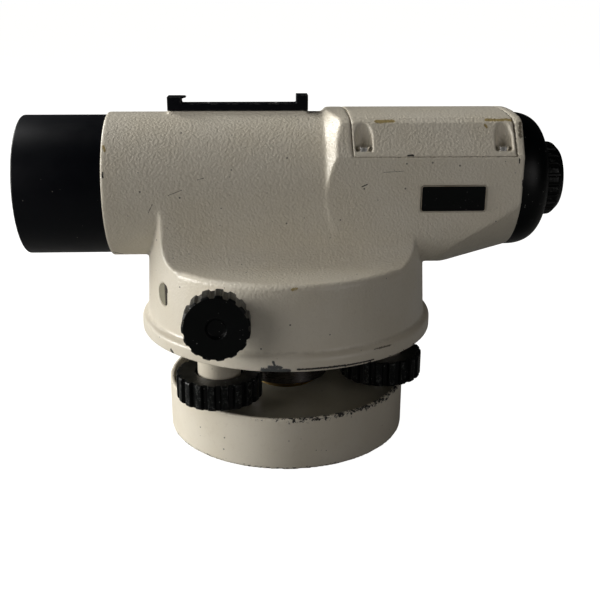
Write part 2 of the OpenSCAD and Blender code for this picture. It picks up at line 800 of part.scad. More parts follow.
module housing() {
    color("ivory") difference() {
        housing_outside();
        translate([0, 0, flange_z - cut]) cylinder(r = skirt_r, h = tribrach_t + cut + 1);
        translate([0, 0, flange_z - cut]) cylinder(r = drum_in_r, h = roof_z - flange_z + cut);
        intersection() {
            translate([0, 0, roof_z - cut]) cylinder(r = drum_in_r - 6, h = ceiling_z - roof_z + cut);
            translate([-drum_r, -pocket_half_w, 0]) cube([2 * drum_r, 2 * pocket_half_w, sight_z]);
        }
        along_x(-tube_front - cut) cylinder(r = tube_bore_r, h = tube_front + cut + rear_cavity_x0 + 1);
        rear_cavity();
        lid_zone(seam);
        for (x = pocket_x, s = [0, 1]) mirror([0, s, 0])
            translate([x, -pocket_seat_y, pocket_seat_z - cover_screw_len]) cylinder(r = m2_r, h = cover_screw_len);
        along_x(rear_end_x - 8, eye_z) cylinder(r = reticle_tube_r, h = 8 + cut);
        for (s = [-1, 1]) along_y(worm_x, 0, wheel_z, s)
            cylinder(r = control_bush_r, h = tangent_boss_y + cut);
        along_y(-focus_x, focus_boss_y - 8, sight_z, 1) cylinder(r = control_bush_r, h = 8 + cut);
        window_plug(drum_in_r - 3, 8, window_r);
        between_feet(bearing_screw_r) translate([0, 0, ceiling_z - cut]) cylinder(r = m25_r, h = 4 + cut);
        translate([level_x, level_y, level_z0]) cylinder(r = level_r + level_recess_gap, h = 20);
        nameplate_block(plate_recess, plate_recess + 1);
        peep_screw_holes();
    }
}

// D-shaped plug through the drum wall at the window, from radius r0 outwards.
module window_plug(r0, len, r) {
    rotate([0, 0, window_angle]) translate([r0, 0, window_z]) rotate([0, 90, 0]) linear_extrude(len)
        intersection() {
            circle(r = r);
            translate([-r, -2 * r + window_flat]) square([2 * r, 2 * r]);
        }
}

module circle_window() {
    color([0.6, 0.75, 0.8, 0.5]) window_plug(drum_in_r + 0.9, window_glass_t, window_r);
}

module nameplate_block(depth, t) {
    translate([plate_x - plate_len / 2, -rear_half_w + depth - t, plate_z - plate_h / 2])
        cube([plate_len, t, plate_h]);
}

module nameplate() {
    color("black") nameplate_block(plate_recess, plate_t);
}

module peep_at_screws() {
    for (x = [sight_x0 + 13, sight_x0 + sight_len - 13]) translate([x, 0, sight_z0 + sight_bar_t]) children();
}

module peep_screw_holes() {
    peep_at_screws() translate([0, 0, -m2_head_h - peep_sink - peep_screw_len - 0.2])
        cylinder(r = m2_r, h = peep_screw_len + 0.8);
}

// ---------------------------------------------------------------- standing axis

module spindle() {
    color("silver") translate([0, 0, spindle_z0]) cylinder(r = spindle_r, h = ceiling_z - spindle_z0);
}

module spindle_nut() {
    color("dimgray") translate([0, 0, spindle_z0]) ring(spindle_nut_r, spindle_r, spindle_nut_t);
}

module bearing_plate() {
    color("gray") translate([0, 0, bearing_z0]) difference() {
        cylinder(r = bearing_r, h = bearing_t);
        translate([0, 0, -cut]) cylinder(r = spindle_r, h = bearing_t + 2 * cut);
        between_feet(bearing_screw_r) {
            translate([0, 0, -cut]) cylinder(r = m25_r + screw_play, h = bearing_t + 2 * cut);
            translate([0, 0, -cut]) cylinder(r = m25_head_r + 0.3, h = m25_head_h + 0.5 + cut);
        }
    }
}

module bearing_screws() {
    color("silver") between_feet(bearing_screw_r) translate([0, 0, bearing_z0 + m25_head_h + 0.5])
        mirror([0, 0, 1]) screw(m25_r, bearing_t + 2, m25_head_r, m25_head_h);
}

// ---------------------------------------------------------------- top cover

module top_cover() {
    w = rear_half_w - rear_wall;
    z1 = rear_top_z - lid_roof;
    w1 = w - (z1 - lid_z) * tan(lid_lean);
    color("ivory") difference() {
        intersection() {
            rear_solid();
            lid_zone(0);
        }
        intersection() {
            translate([lid_x0, 0, 0]) rotate([90, 0, 90]) linear_extrude(lid_len)
                polygon([[-w, lid_z - cut], [w, lid_z - cut], [w, lid_z], [w1, z1], [-w1, z1], [-w, lid_z]]);
            union() {
                translate([lid_x0 + screw_post_len, -w, lid_z - cut])
                    cube([lid_len - 2 * screw_post_len, 2 * w, z1 - lid_z + 2 * cut]);
                translate([lid_x0 + 2.4, screw_post_w + 0.4 - rear_half_w, lid_z - cut])
                    cube([lid_len - 6.4, 2 * (rear_half_w - screw_post_w - 0.4), z1 - lid_z + 2 * cut]);
            }
        }
        at_cover_screws() {
            cylinder(r = pocket_r, h = 25);
            translate([-pocket_r, -10, 0]) cube([2 * pocket_r, 10, 25]);
            translate([0, 0, -10]) cylinder(r = m2_r + screw_play, h = 11);
        }
    }
}

module top_cover_screws() {
    color("silver") at_cover_screws() screw(m2_r, cover_screw_len - 0.3, pocket_r - 0.65, 1.4);
}

// ---------------------------------------------------------------- objective end

// The hood screws over the cell in a bore a little wider than its mouth.
module objective_hood() {
    mouth_len = hood_len - cell_front_len;
    color("#15181a") along_x(hood_x0) difference() {
        ring(hood_r, hood_r - hood_wall, hood_len);
        translate([0, 0, mouth_len]) cylinder(r = hood_thread_r, h = cell_front_len + cut);
    }
}

module objective_cell() {
    color("#202224") along_x(0) rotate_extrude() polygon([
        [objective_r - lens_lip, objective_x + objective_t],
        [objective_r + lens_play, objective_x + objective_t],
        [objective_r + lens_play, cell_front], [hood_thread_r, cell_front],
        [hood_thread_r, -tube_front], [tube_bore_r, -tube_front],
        [tube_bore_r, cell_back], [objective_r - lens_lip, cell_back]]);
}

module objective_retainer() {
    color("#202224") along_x(objective_x - retainer_t + 1.2)
        ring(objective_r + lens_play, objective_r - 1.3, retainer_t - 0.8);
}

// A lens of radius r and centre thickness t, with two spherical faces and a rim of the given thickness.
module biconvex(r, t, rim) {
    sag = (t - rim) / 2;
    ball = (r * r + sag * sag) / (2 * sag);
    rotate_extrude() intersection() {
        translate([0, -t]) square([r, 2 * t]);
        translate([0, t / 2 - ball]) circle(r = ball, $fn = 400);
        translate([0, ball - t / 2]) circle(r = ball, $fn = 400);
    }
}

module objective_lens() {
    color([0.7, 0.8, 0.9, 0.4]) along_x(objective_x + objective_t / 2 + 0.4)
        biconvex(objective_r, objective_t, objective_t - 2 * objective_sag);
}

// ---------------------------------------------------------------- eyepiece end

module eyepiece_cover() {
    dome_c = eye_cover_r - eye_dome_r;
    shell = 2.6;
    color("#15181a") along_x(rear_end_x, eye_z) rotate_extrude() difference() {
        intersection() {
            translate([dome_c, 0]) circle(r = eye_dome_r);
            translate([eye_port_r, 0]) square([eye_cover_r, eye_cover_len]);
        }
        intersection() {
            translate([dome_c, 0]) circle(r = eye_dome_r - shell);
            translate([eye_port_r + shell, -cut]) square([eye_cover_r, eye_cover_len]);
        }
        translate([0, -cut]) square([reticle_tube_r + 1.2, 2 * cut]);
    }
}

module reticle_cell() {
    color("#202224") along_x(reticle_x0, eye_z) difference() {
        cylinder(r = reticle_tube_r, h = reticle_x1 - reticle_x0);
        translate([0, 0, -cut]) cylinder(r = reticle_r - 1, h = reticle_x1);
        translate([0, 0, reticle_floor]) cylinder(r = reticle_r, h = reticle_t);
        translate([0, 0, reticle_floor + reticle_t]) cylinder(r = eye_cell_r + running, h = reticle_x1);
    }
}

module reticle_glass() {
    color([0.7, 0.8, 0.9, 0.4]) along_x(reticle_x0 + reticle_floor, eye_z)
        cylinder(r = reticle_r, h = reticle_t);
}

module eyepiece_cell() {
    color("#202224") along_x(eye_cell_x0, eye_z) difference() {
        cylinder(r = eye_cell_r, h = eye_cell_x1 - eye_cell_x0);
        translate([0, 0, -cut]) cylinder(r = eye_lens_r - 1, h = eye_cell_x1);
        translate([0, 0, eye_cell_x1 - eye_cell_x0 - 5]) cylinder(r = eye_lens_r, h = 6);
    }
}

module eyepiece_lens() {
    color([0.7, 0.8, 0.9, 0.4]) along_x(eye_cell_x1 - eye_lens_rim, eye_z)
        biconvex(eye_lens_r, eye_lens_t, eye_lens_rim);
}

module eyepiece_ring() {
    bore_len = eye_cell_x1 - eye_ring_x0 + part_gap;
    color("#15181a") along_x(eye_ring_x0, eye_z) difference() {
        grooved_disc(eye_ring_r, eye_ring_len, 24, 0.7, 1.2);
        translate([0, 0, -cut]) cylinder(r = eye_cell_r + running, h = bore_len + cut);
        translate([0, 0, -cut]) cylinder(r = eye_lens_r - 0.5, h = eye_ring_len + 2 * cut);
    }
}

// ---------------------------------------------------------------- peep sight

module peep_sight() {
    w = sight_w;
    x1 = sight_x0 + sight_len;
    color("#15181a") difference() {
        union() {
            translate([sight_x0, -w / 2, sight_z0]) cube([sight_len, w, sight_bar_t]);
            translate([sight_x0, -w / 2, sight_z0])
                cube([sight_post_w[0], w, sight_bar_t + sight_post_h - 0.6]);
            translate([x1 - sight_post_w[1], -w / 2, sight_z0])
                cube([sight_post_w[1], w, sight_bar_t + sight_post_h]);
        }
        translate([sight_x0 - cut, -0.6, sight_z0 + sight_bar_t]) cube([sight_len + 2 * cut, 1.2, 10]);
        peep_at_screws() {
            translate([0, 0, -m2_head_h - peep_sink]) cylinder(r = m2_head_r + 0.2, h = 3);
            translate([0, 0, -5]) cylinder(r = m2_r + screw_play, h = 5);
        }
    }
}

module peep_sight_screws() {
    color("silver") peep_at_screws() translate([0, 0, -m2_head_h - peep_sink])
        screw(m2_r, peep_screw_len, m2_head_r, m2_head_h);
}

// ---------------------------------------------------------------- circular level

module mirror_hinge_at() {
    translate([mirror_hinge_x, level_y, mirror_hinge_z]) rotate([90, 0, 0]) children();
}

module level_housing() {
    span = mirror_w + 2 * ear_t + 0.6;
    color("#202224") difference() {
        union() {
            translate([level_x, level_y, level_z0]) cylinder(r = level_r, h = level_h);
            translate([mirror_hinge_x - ear_r, level_y - span / 2, level_z0 + level_h - 3])
                cube([level_r + 1.2, span, 3]);
            for (s = [-1, 1]) mirror_hinge_at() translate([0, 0, s * (span - ear_t) / 2])
                cylinder(r = ear_r, h = ear_t, center = true);
            for (s = [-1, 1]) translate([mirror_hinge_x - ear_r, level_y + s * (span - ear_t) / 2 - ear_t / 2,
                level_z0 + level_h - 1]) cube([2 * ear_r, ear_t, mirror_hinge_z - level_z0 - level_h + 1]);
        }
        translate([level_x, level_y, level_z0 + level_h - vial_h]) cylinder(r = vial_r, h = vial_h + cut);
        mirror_hinge_at() cylinder(r = mirror_pin_r + running, h = span + 2 * cut, center = true);
    }
}

module level_vial() {
    color([0.8, 0.9, 0.3, 0.6]) translate([level_x, level_y, level_z0 + level_h - vial_h])
        cylinder(r = vial_r, h = vial_h - 0.4);
}

module mirror_frame() {
    span = mirror_w + 2 * ear_t + 0.6;
    color("#202224") {
        mirror_hinge_at() cylinder(r = mirror_pin_r, h = span + 0.6, center = true);
        translate([mirror_hinge_x, level_y, mirror_hinge_z]) rotate([0, -mirror_angle, 0]) difference() {
            translate([0, -mirror_w / 2, -mirror_t / 2]) cube([mirror_len, mirror_w, mirror_t]);
            translate([3, -mirror_w / 2 + 1, -mirror_t]) cube([mirror_len - 4, mirror_w - 2, mirror_t]);
        }
    }
}

module mirror_glass() {
    color("lightsteelblue") translate([mirror_hinge_x, level_y, mirror_hinge_z]) rotate([0, -mirror_angle, 0])
        translate([3, -mirror_w / 2 + 1, -mirror_t / 2]) cube([mirror_len - 4, mirror_w - 2, mirror_t / 2]);
}

// ---------------------------------------------------------------- compensator

module compensator_frame() {
    color("gray") {
        for (s = [-1, 1]) {
            translate([comp_x - comp_half_len, s > 0 ? comp_half_w - comp_cheek_t : -comp_half_w, comp_z0])
                cube([2 * comp_half_len, comp_cheek_t, comp_z1 - comp_z0]);
            translate([comp_x - comp_lug_half_len, s > 0 ? comp_half_w - 1 : -rear_half_w + rear_wall,
                sight_z - comp_lug_h / 2])
                cube([2 * comp_lug_half_len, rear_half_w - rear_wall - comp_half_w + 1, comp_lug_h]);
        }
        for (z = [comp_z0, comp_z1 - comp_bar_t])
            translate([comp_x - comp_half_len, -comp_half_w, z])
                cube([2 * comp_half_len, 2 * comp_half_w, comp_bar_t]);
    }
}

module pendulum() {
    z1 = comp_z1 - comp_bar_t - part_gap;
    color("silver") difference() {
        union() {
            translate([comp_x - pend_half_len, -pend_half_w, sight_z - pend_half_h])
                cube([2 * pend_half_len, 2 * pend_half_w, 2 * pend_half_h]);
            for (x = [-5, 5], y = [-9, 9]) translate([comp_x + x, y, sight_z + pend_half_h - 1])
                cylinder(r = wire_r, h = z1 - sight_z - pend_half_h + 1);
        }
        translate([comp_x - prism_half_len, -prism_half_w, sight_z - prism_half_h])
            cube([2 * prism_half_len, 2 * prism_half_w, 2 * prism_half_h]);
        along_x(comp_x - pend_half_len - cut) cylinder(r = pend_bore_r, h = 2 * pend_half_len + 2 * cut);
    }
}

module prism() {
    color([0.7, 0.8, 0.9, 0.4]) translate([comp_x - prism_half_len, -prism_half_w, sight_z - prism_half_h])
        cube([2 * prism_half_len, 2 * prism_half_w, 2 * prism_half_h]);
}

// ---------------------------------------------------------------- tangent drive

module tangent_shaft() {
    len = 2 * tangent_knob_y + 2 * (tangent_knob_w - 4);
    color("silver") along_y(worm_x, len / 2, wheel_z, -1) mirror([0, 0, 1]) cylinder(r = shaft_r, h = len);
}

// Right-handed worm about +Y: its thread section runs round in steps of 20 degrees.
module worm() {
    steps = 18 * floor(worm_len / worm_pitch - 1);
    tip = tooth_w / 2 - tan(20) * tooth_add;
    foot = tooth_w / 2 + tan(20) * (tooth_ded + 0.3);
    section = [[worm_core_r - 0.3, -foot], [worm_r + tooth_add, -tip], [worm_r + tooth_add, tip],
        [worm_core_r - 0.3, foot]];
    points = [for (k = [0 : steps], p = section)
        let (a = 20 * k, y = (k / 18 - steps / 36) * worm_pitch)
        [p[0] * sin(a), y + p[1], p[0] * cos(a)]];
    sides = [for (k = [0 : steps - 1], j = [0 : 3])
        let (b = 4 * k, c = 4 * (k + 1), n = (j + 1) % 4) [b + n, c + n, c + j, b + j]];
    caps = [[3, 2, 1, 0], [4 * steps, 4 * steps + 1, 4 * steps + 2, 4 * steps + 3]];
    color("goldenrod") difference() {
        union() {
            along_y(worm_x, worm_len / 2, wheel_z, -1) mirror([0, 0, 1])
                cylinder(r = worm_core_r, h = worm_len);
            translate([worm_x, 0, wheel_z]) rotate([0, worm_phase, 0])
                polyhedron(points, concat(sides, caps));
        }
        along_y(worm_x, worm_len / 2 + cut, wheel_z, -1) mirror([0, 0, 1])
            cylinder(r = shaft_r, h = worm_len + 2 * cut);
    }
}

// A scalloped knob on z = 0 with its outer face, bearing a round dimple, at the top.
module scalloped_knob(r, w, lobes, dimple_r) {
    difference() {
        grooved_disc(r, w, lobes, 1.1, 0.7);
        translate([0, 0, w - 1.1]) cylinder(r = dimple_r, h = 2);
        translate([0, 0, -cut]) cylinder(r = shaft_r, h = w - 4 + cut);
    }
}

module tangent_knob_near() {
    color("#15181a") along_y(worm_x, tangent_knob_y, wheel_z, -1)
        scalloped_knob(tangent_knob_r, tangent_knob_w, tangent_lobes, tangent_dimple_r);
}

module tangent_knob_far() {
    color("#15181a") along_y(worm_x, tangent_knob_y, wheel_z, 1)
        scalloped_knob(tangent_knob_r, tangent_knob_w, tangent_lobes, tangent_dimple_r);
}

module shaft_bushes() {
    y0 = sqrt(pow(drum_in_r, 2) - pow(worm_x, 2)) + 0.2;
    color("darkgoldenrod") {
        for (s = [-1, 1]) along_y(worm_x, y0, wheel_z, s)
            ring(control_bush_r, shaft_r + running, tangent_boss_y - y0);
        along_y(-focus_x, tube_bore_r + 0.2, sight_z, 1)
            ring(control_bush_r, shaft_r + running, focus_boss_y - tube_bore_r - 0.2);
    }
}

// ---------------------------------------------------------------- focusing

module focus_knob() {
    color("#15181a") along_y(-focus_x, focus_knob_y, sight_z, 1) difference() {
        grooved_disc(focus_knob_r, focus_knob_w, 28, 0.85, 0.9);
        translate([0, 0, focus_knob_w - 1.2]) cylinder(r = focus_knob_r - 3, h = 2);
        translate([0, 0, -cut]) cylinder(r = shaft_r, h = focus_knob_w - 4 + cut);
    }
}

module focus_pinion() {
    shaft_y0 = rack_y1 + part_gap;
    color("silver") along_y(-focus_x, pinion_y0, sight_z, 1) {
        linear_extrude(pinion_y1 - pinion_y0) rotate(-90)
            polygon(gear_points(pinion_r, pinion_teeth, 0.45, 0.6, rack_tooth_w));
        cylinder(r = shaft_r - 0.7, h = focus_knob_y - pinion_y0);
        translate([0, 0, shaft_y0 - pinion_y0])
            cylinder(r = shaft_r, h = focus_knob_y + focus_knob_w - 4 - shaft_y0);
    }
}

module focus_cell() {
    bore_r = focus_lens_r - 1;
    pitch = PI * pinion_module;
    rack_half = focus_travel + 3;
    teeth = floor(rack_half / pitch);
    x0 = focus_cell_x1 - focus_cell_len;
    color("#303236") difference() {
        union() {
            along_x(x0) cylinder(r = tube_bore_r - slide_gap, h = focus_cell_len);
            translate([focus_cell_x1 - 1, rack_y0, rack_z - rack_add - 0.6 - rack_t])
                cube([-focus_x + rack_half - focus_cell_x1 + 1, rack_y1 - rack_y0, rack_t]);
            for (k = [-teeth : teeth - 1]) translate([-focus_x + (k + 0.5) * pitch, rack_y1, rack_z])
                rotate([90, 0, 0]) linear_extrude(rack_y1 - rack_y0) polygon([
                    [-rack_tooth_w / 2 - 0.3, -rack_add - 0.7], [rack_tooth_w / 2 + 0.3, -rack_add - 0.7],
                    [rack_tooth_w / 2 - 0.1, rack_add], [-rack_tooth_w / 2 + 0.1, rack_add]]);
        }
        along_x(x0 - cut) cylinder(r = bore_r, h = focus_cell_len + 2 * cut);
        along_x(x0 + 4) cylinder(r = focus_lens_r, h = 5);
    }
}

module focus_lens() {
    color([0.7, 0.8, 0.9, 0.4]) along_x(focus_cell_x1 - focus_cell_len + 6.5)
        biconvex(focus_lens_r, focus_lens_t, focus_lens_rim);
}

base_plate();
tripod_bush();
cover_disc();
cover_disc_screws();
foot_cups();
foot_ball_a();
foot_ball_b();
foot_ball_c();
foot_neck_c();
foot_stem_a();
foot_stem_b();
foot_stem_c();
foot_knob_a();
foot_knob_b();
foot_knob_c();
tribrach_plate();
foot_bushes();
axis_sleeve();
sleeve_screws();
horizontal_circle();
worm_wheel();
clutch_washer();
clutch_nut();
housing();
spindle();
spindle_nut();
bearing_plate();
bearing_screws();
top_cover();
top_cover_screws();
objective_hood();
objective_cell();
objective_retainer();
objective_lens();
eyepiece_cover();
reticle_cell();
reticle_glass();
nameplate();
peep_sight();
peep_sight_screws();
circle_window();
shaft_bushes();
level_housing();
level_vial();
mirror_frame();
mirror_glass();
compensator_frame();
pendulum();
prism();
tangent_shaft();
worm();
tangent_knob_near();
tangent_knob_far();
focus_knob();
focus_pinion();
focus_cell();
focus_lens();
eyepiece_cell();
eyepiece_lens();
eyepiece_ring();
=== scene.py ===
"""Looks of the automatic level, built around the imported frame. Lengths are in millimetres unless a comment says so."""
import math

import bmesh
import bpy
import numpy as np
from mathutils import Matrix, Vector


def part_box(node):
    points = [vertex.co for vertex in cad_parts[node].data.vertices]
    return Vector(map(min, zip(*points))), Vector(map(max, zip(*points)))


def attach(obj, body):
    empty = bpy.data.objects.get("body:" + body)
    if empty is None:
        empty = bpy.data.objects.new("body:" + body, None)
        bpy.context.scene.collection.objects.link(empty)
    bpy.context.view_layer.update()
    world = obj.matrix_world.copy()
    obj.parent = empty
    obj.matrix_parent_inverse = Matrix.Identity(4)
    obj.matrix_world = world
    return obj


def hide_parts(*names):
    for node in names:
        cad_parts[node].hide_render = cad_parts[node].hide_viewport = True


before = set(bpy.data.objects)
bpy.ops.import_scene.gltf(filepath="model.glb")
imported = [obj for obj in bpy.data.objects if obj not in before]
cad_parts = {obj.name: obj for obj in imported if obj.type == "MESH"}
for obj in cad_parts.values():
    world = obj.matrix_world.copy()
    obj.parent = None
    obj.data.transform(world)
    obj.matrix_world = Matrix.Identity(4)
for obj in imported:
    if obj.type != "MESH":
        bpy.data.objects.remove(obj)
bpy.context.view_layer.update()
MM = 0.001
TAU = 2 * math.pi
SAME_POINT = 1e-7   # metres
scene = bpy.context.scene
replaced = set()    # CAD nodes that a mesh of this script stands for


def corners(node):
    """Lowest and highest corner of a CAD node, in millimetres."""
    lo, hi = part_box(node)
    return lo / MM, hi / MM


# ---------------------------------------------------------------- camera, lights, floor

CAMERA_PLACE = (-10.757, -325.859, 157.699)
CAMERA_TURN = (2.828, 18.547, 0.165)    # yaw to the right, pitch down and roll, in degrees
CAMERA_LENS = 53.28

MIDDLE = Vector((0, 0, 0.07))           # what the lights aim at, in metres
LIGHT_DISTANCE = 1.6                    # metres
AMBIENT = 0.008
FLOOR_GLOW = 1.0
# Name, azimuth and elevation in degrees, size in metres, watts, colour.
LIGHTS = [
    ("window_left", 180, 9, 0.7, 23.5, (1.0, 0.985, 0.955)),
    ("window_back", 145, 30, 0.7, 13.4, (1.0, 0.99, 0.97)),
    ("window_high", 160, 50, 0.7, 5.6, (1.0, 0.99, 0.97)),
    ("fill_left", 215, 20, 0.9, 4.0, (1.0, 0.965, 0.94)),
    ("fill_right", 310, 15, 0.9, 2.6, (1.0, 0.965, 0.96)),
]


def add_camera():
    """The camera that matches the object's perspective."""
    yaw, pitch, roll = (math.radians(a) for a in CAMERA_TURN)
    forward = Vector((math.sin(yaw) * math.cos(pitch), math.cos(yaw) * math.cos(pitch), -math.sin(pitch)))
    level = Vector((math.cos(yaw), -math.sin(yaw), 0))
    upright = level.cross(forward)
    right = level * math.cos(roll) + upright * math.sin(roll)
    up = upright * math.cos(roll) - level * math.sin(roll)
    data = bpy.data.cameras.new("camera")
    data.sensor_width = 36
    data.lens = CAMERA_LENS
    data.clip_start, data.clip_end = 0.01, 100
    camera = bpy.data.objects.new("camera", data)
    scene.collection.objects.link(camera)
    turn = Matrix((right, up, -forward)).transposed().to_4x4()
    camera.matrix_world = Matrix.Translation(Vector(CAMERA_PLACE) * MM) @ turn
    scene.camera = camera


def add_light(name, place, size, watts, colour):
    """A soft round light that faces the object."""
    data = bpy.data.lights.new(name, "AREA")
    data.shape = "DISK"
    data.size = size
    data.energy = watts
    data.color = colour
    light = bpy.data.objects.new(name, data)
    scene.collection.objects.link(light)
    turn = (MIDDLE - place).to_track_quat("-Z", "Y").to_matrix().to_4x4()
    light.matrix_world = Matrix.Translation(place) @ turn


def add_lights():
    for name, azimuth, elevation, size, watts, colour in LIGHTS:
        a, e = math.radians(azimuth), math.radians(elevation)
        away = Vector((math.cos(a) * math.cos(e), math.sin(a) * math.cos(e), math.sin(e)))
        add_light(name, MIDDLE + away * LIGHT_DISTANCE, size, watts, colour)


def add_world():
    """A white surround that is seen behind the floor's edge and gives hardly any light."""
    world = bpy.data.worlds.new("studio")
    scene.world = world
    world.use_nodes = True
    tree = world.node_tree
    back = tree.nodes["Background"]
    back.inputs["Color"].default_value = (1, 1, 1, 1)
    path = tree.nodes.new("ShaderNodeLightPath")
    span = tree.nodes.new("ShaderNodeMapRange")
    span.inputs["To Min"].default_value = AMBIENT
    span.inputs["To Max"].default_value = 1.0
    tree.links.new(path.outputs["Is Camera Ray"], span.inputs["Value"])
    tree.links.new(span.outputs[0], back.inputs["Strength"])


# ---------------------------------------------------------------- node graphs

class Graph:
    """A small helper that writes one material's nodes."""

    def __init__(self, name):
        self.material = bpy.data.materials.new(name)
        self.material.use_nodes = True
        self.tree = self.material.node_tree
        self.tree.nodes.clear()
        self.out = self.tree.nodes.new("ShaderNodeOutputMaterial")
        self.bsdf = self.tree.nodes.new("ShaderNodeBsdfPrincipled")
        self.tree.links.new(self.bsdf.outputs[0], self.out.inputs[0])
        place = self.tree.nodes.new("ShaderNodeTexCoord")
        self.mm = self.vector("SCALE", place.outputs["Object"], scale=1000)
        split = self.tree.nodes.new("ShaderNodeSeparateXYZ")
        self.tree.links.new(self.mm, split.inputs[0])
        self.x, self.y, self.z = split.outputs

    def put(self, socket, value):
        """Links a socket's value, or sets a constant."""
        if isinstance(value, bpy.types.NodeSocket):
            self.tree.links.new(value, socket)
        elif value is not None:
            if socket.type == "RGBA" and len(value) == 3:
                value = (*value, 1)
            socket.default_value = value

    def set(self, **values):
        """Sets the shader's own sockets, with underscores for the blanks in their names."""
        for name, value in values.items():
            self.put(self.bsdf.inputs[name.replace("_", " ")], value)
        return self

    def math(self, op, a, b=None):
        node = self.tree.nodes.new("ShaderNodeMath")
        node.operation = op
        for socket, value in zip(node.inputs, (a, b)):
            self.put(socket, value)
        return node.outputs[0]

    def add(self, a, b):
        return self.math("ADD", a, b)

    def mul(self, a, b):
        return self.math("MULTIPLY", a, b)

    def most(self, *values):
        result = values[0]
        for value in values[1:]:
            result = self.math("MAXIMUM", result, value)
        return result

    def vector(self, op, a, b=None, scale=None):
        node = self.tree.nodes.new("ShaderNodeVectorMath")
        node.operation = op
        self.put(node.inputs[0], a)
        if b is not None:
            self.put(node.inputs[1], b)
        if scale is not None:
            self.put(node.inputs["Scale"], scale)
        return node.outputs["Value"] if op in ("LENGTH", "DOT_PRODUCT") else node.outputs["Vector"]

    def step(self, value, low, high):
        """Smoothly from 0 at low to 1 at high."""
        node = self.tree.nodes.new("ShaderNodeMapRange")
        node.interpolation_type = "SMOOTHSTEP"
        for socket, v in zip(node.inputs, (value, low, high, 0, 1)):
            self.put(socket, v)
        return node.outputs[0]

    def noise(self, scale, detail=3, rough=0.5, where=None, warp=0.0):
        node = self.tree.nodes.new("ShaderNodeTexNoise")
        self.put(node.inputs["Vector"], where or self.mm)
        node.inputs["Scale"].default_value = scale
        node.inputs["Detail"].default_value = detail
        node.inputs["Roughness"].default_value = rough
        node.inputs["Distortion"].default_value = warp
        return node.outputs[0]

    def cells(self, scale):
        """Distance to the nearest cell centre, and a random value per cell."""
        node = self.tree.nodes.new("ShaderNodeTexVoronoi")
        self.put(node.inputs["Vector"], self.mm)
        node.inputs["Scale"].default_value = scale
        split = self.tree.nodes.new("ShaderNodeSeparateColor")
        self.tree.links.new(node.outputs["Color"], split.inputs[0])
        return node.outputs["Distance"], split.outputs[0]

    def mix(self, amount, a, b):
        """From colour a to colour b."""
        node = self.tree.nodes.new("ShaderNodeMix")
        node.data_type = "RGBA"
        self.put(node.inputs[0], amount)
        self.put(node.inputs[6], a)
        self.put(node.inputs[7], b)
        return node.outputs[2]

    def blend(self, amount, a, b):
        """From value a to value b."""
        node = self.tree.nodes.new("ShaderNodeMix")
        self.put(node.inputs[0], amount)
        self.put(node.inputs[2], a)
        self.put(node.inputs[3], b)
        return node.outputs[0]

    def attribute(self, name):
        node = self.tree.nodes.new("ShaderNodeAttribute")
        node.attribute_name = name
        return node.outputs["Fac"]

    def specks(self, scale, size, share):
        """Round specks, one in some of the cells."""
        distance, chance = self.cells(scale)
        return self.mul(self.step(distance, size, size * 0.6), self.step(chance, 1 - share, 1 - share + 0.01))

    def near_line(self, a, b, radius, ragged):
        """A ragged stroke from a to b."""
        a, b = Vector(a), Vector(b)
        along = b - a
        offset = self.vector("SUBTRACT", self.mm, tuple(a))
        if along.length > 1e-6:
            share = self.mul(self.vector("DOT_PRODUCT", offset, tuple(along)), 1 / along.length_squared)
            share = self.math("MINIMUM", self.math("MAXIMUM", share, 0.0), 1.0)
            offset = self.vector("SUBTRACT", offset, self.vector("SCALE", tuple(along), scale=share))
        distance = self.add(self.vector("LENGTH", offset), ragged)
        return self.step(distance, radius, radius * 0.55)

    def from_axis(self):
        """Distance from the standing axis."""
        return self.vector("LENGTH", self.vector("MULTIPLY", self.mm, (1, 1, 0)))

    def strokes(self, marks, ragged, share):
        """Marks (from, to, radius) as one mask. share(radius) says how much of the ragged noise their edge takes."""
        return self.most(*(self.near_line(a, b, radius, self.mul(ragged, share(radius))) for a, b, radius in marks))

    def bump(self, height):
        """Height is in millimetres."""
        node = self.tree.nodes.new("ShaderNodeBump")
        node.inputs["Strength"].default_value = 1.0
        node.inputs["Distance"].default_value = MM
        self.put(node.inputs["Height"], height)
        self.put(self.bsdf.inputs["Normal"], node.outputs[0])
        return self


# ---------------------------------------------------------------- materials

IVORY = (0.745, 0.695, 0.585)
# Painted shade and grime: the colour that the enamel's creases darken towards.
CREASE_GRIME_AND_SHADE = (0.20, 0.165, 0.115)
DARK_CHIP = (0.030, 0.027, 0.024)
OLD_GLUE = (0.33, 0.235, 0.055)
SEAM_DIRT = (0.075, 0.055, 0.03)
BARE_METAL = (0.13, 0.137, 0.14)


def rim_wear(g):
    """Dark chips along the base's upper and lower rims, more of them on the right."""
    rough = g.noise(0.85, 5, 0.72, warp=0.4)
    top = g.mul(g.step(g.z, 16.6, 19.2), g.blend(g.step(g.x, -20.0, 6.0), 0.35, 1.0))
    low = g.mul(g.step(g.z, 2.0, 0.3), 0.8)
    reach = g.mul(g.most(top, low), g.step(g.from_axis(), 42.0, 44.0))
    return g.step(g.add(rough, g.mul(reach, 0.25)), 0.735, 0.76)


def flange_wear(g):
    """Dark chips along the lower edge of the drum's flange."""
    rough = g.noise(0.55, 5, 0.7, warp=0.3)
    low = g.mul(g.step(g.z, 42.9, 41.4), g.blend(g.step(g.x, 8.0, 24.0), 0.25, 1.0))
    return g.mul(g.step(g.add(rough, g.mul(low, 0.20)), 0.73, 0.76), g.step(g.z, 46.5, 44.0))


def shade(colour, factors):
    return tuple(c * k for c, k in zip(colour, factors))


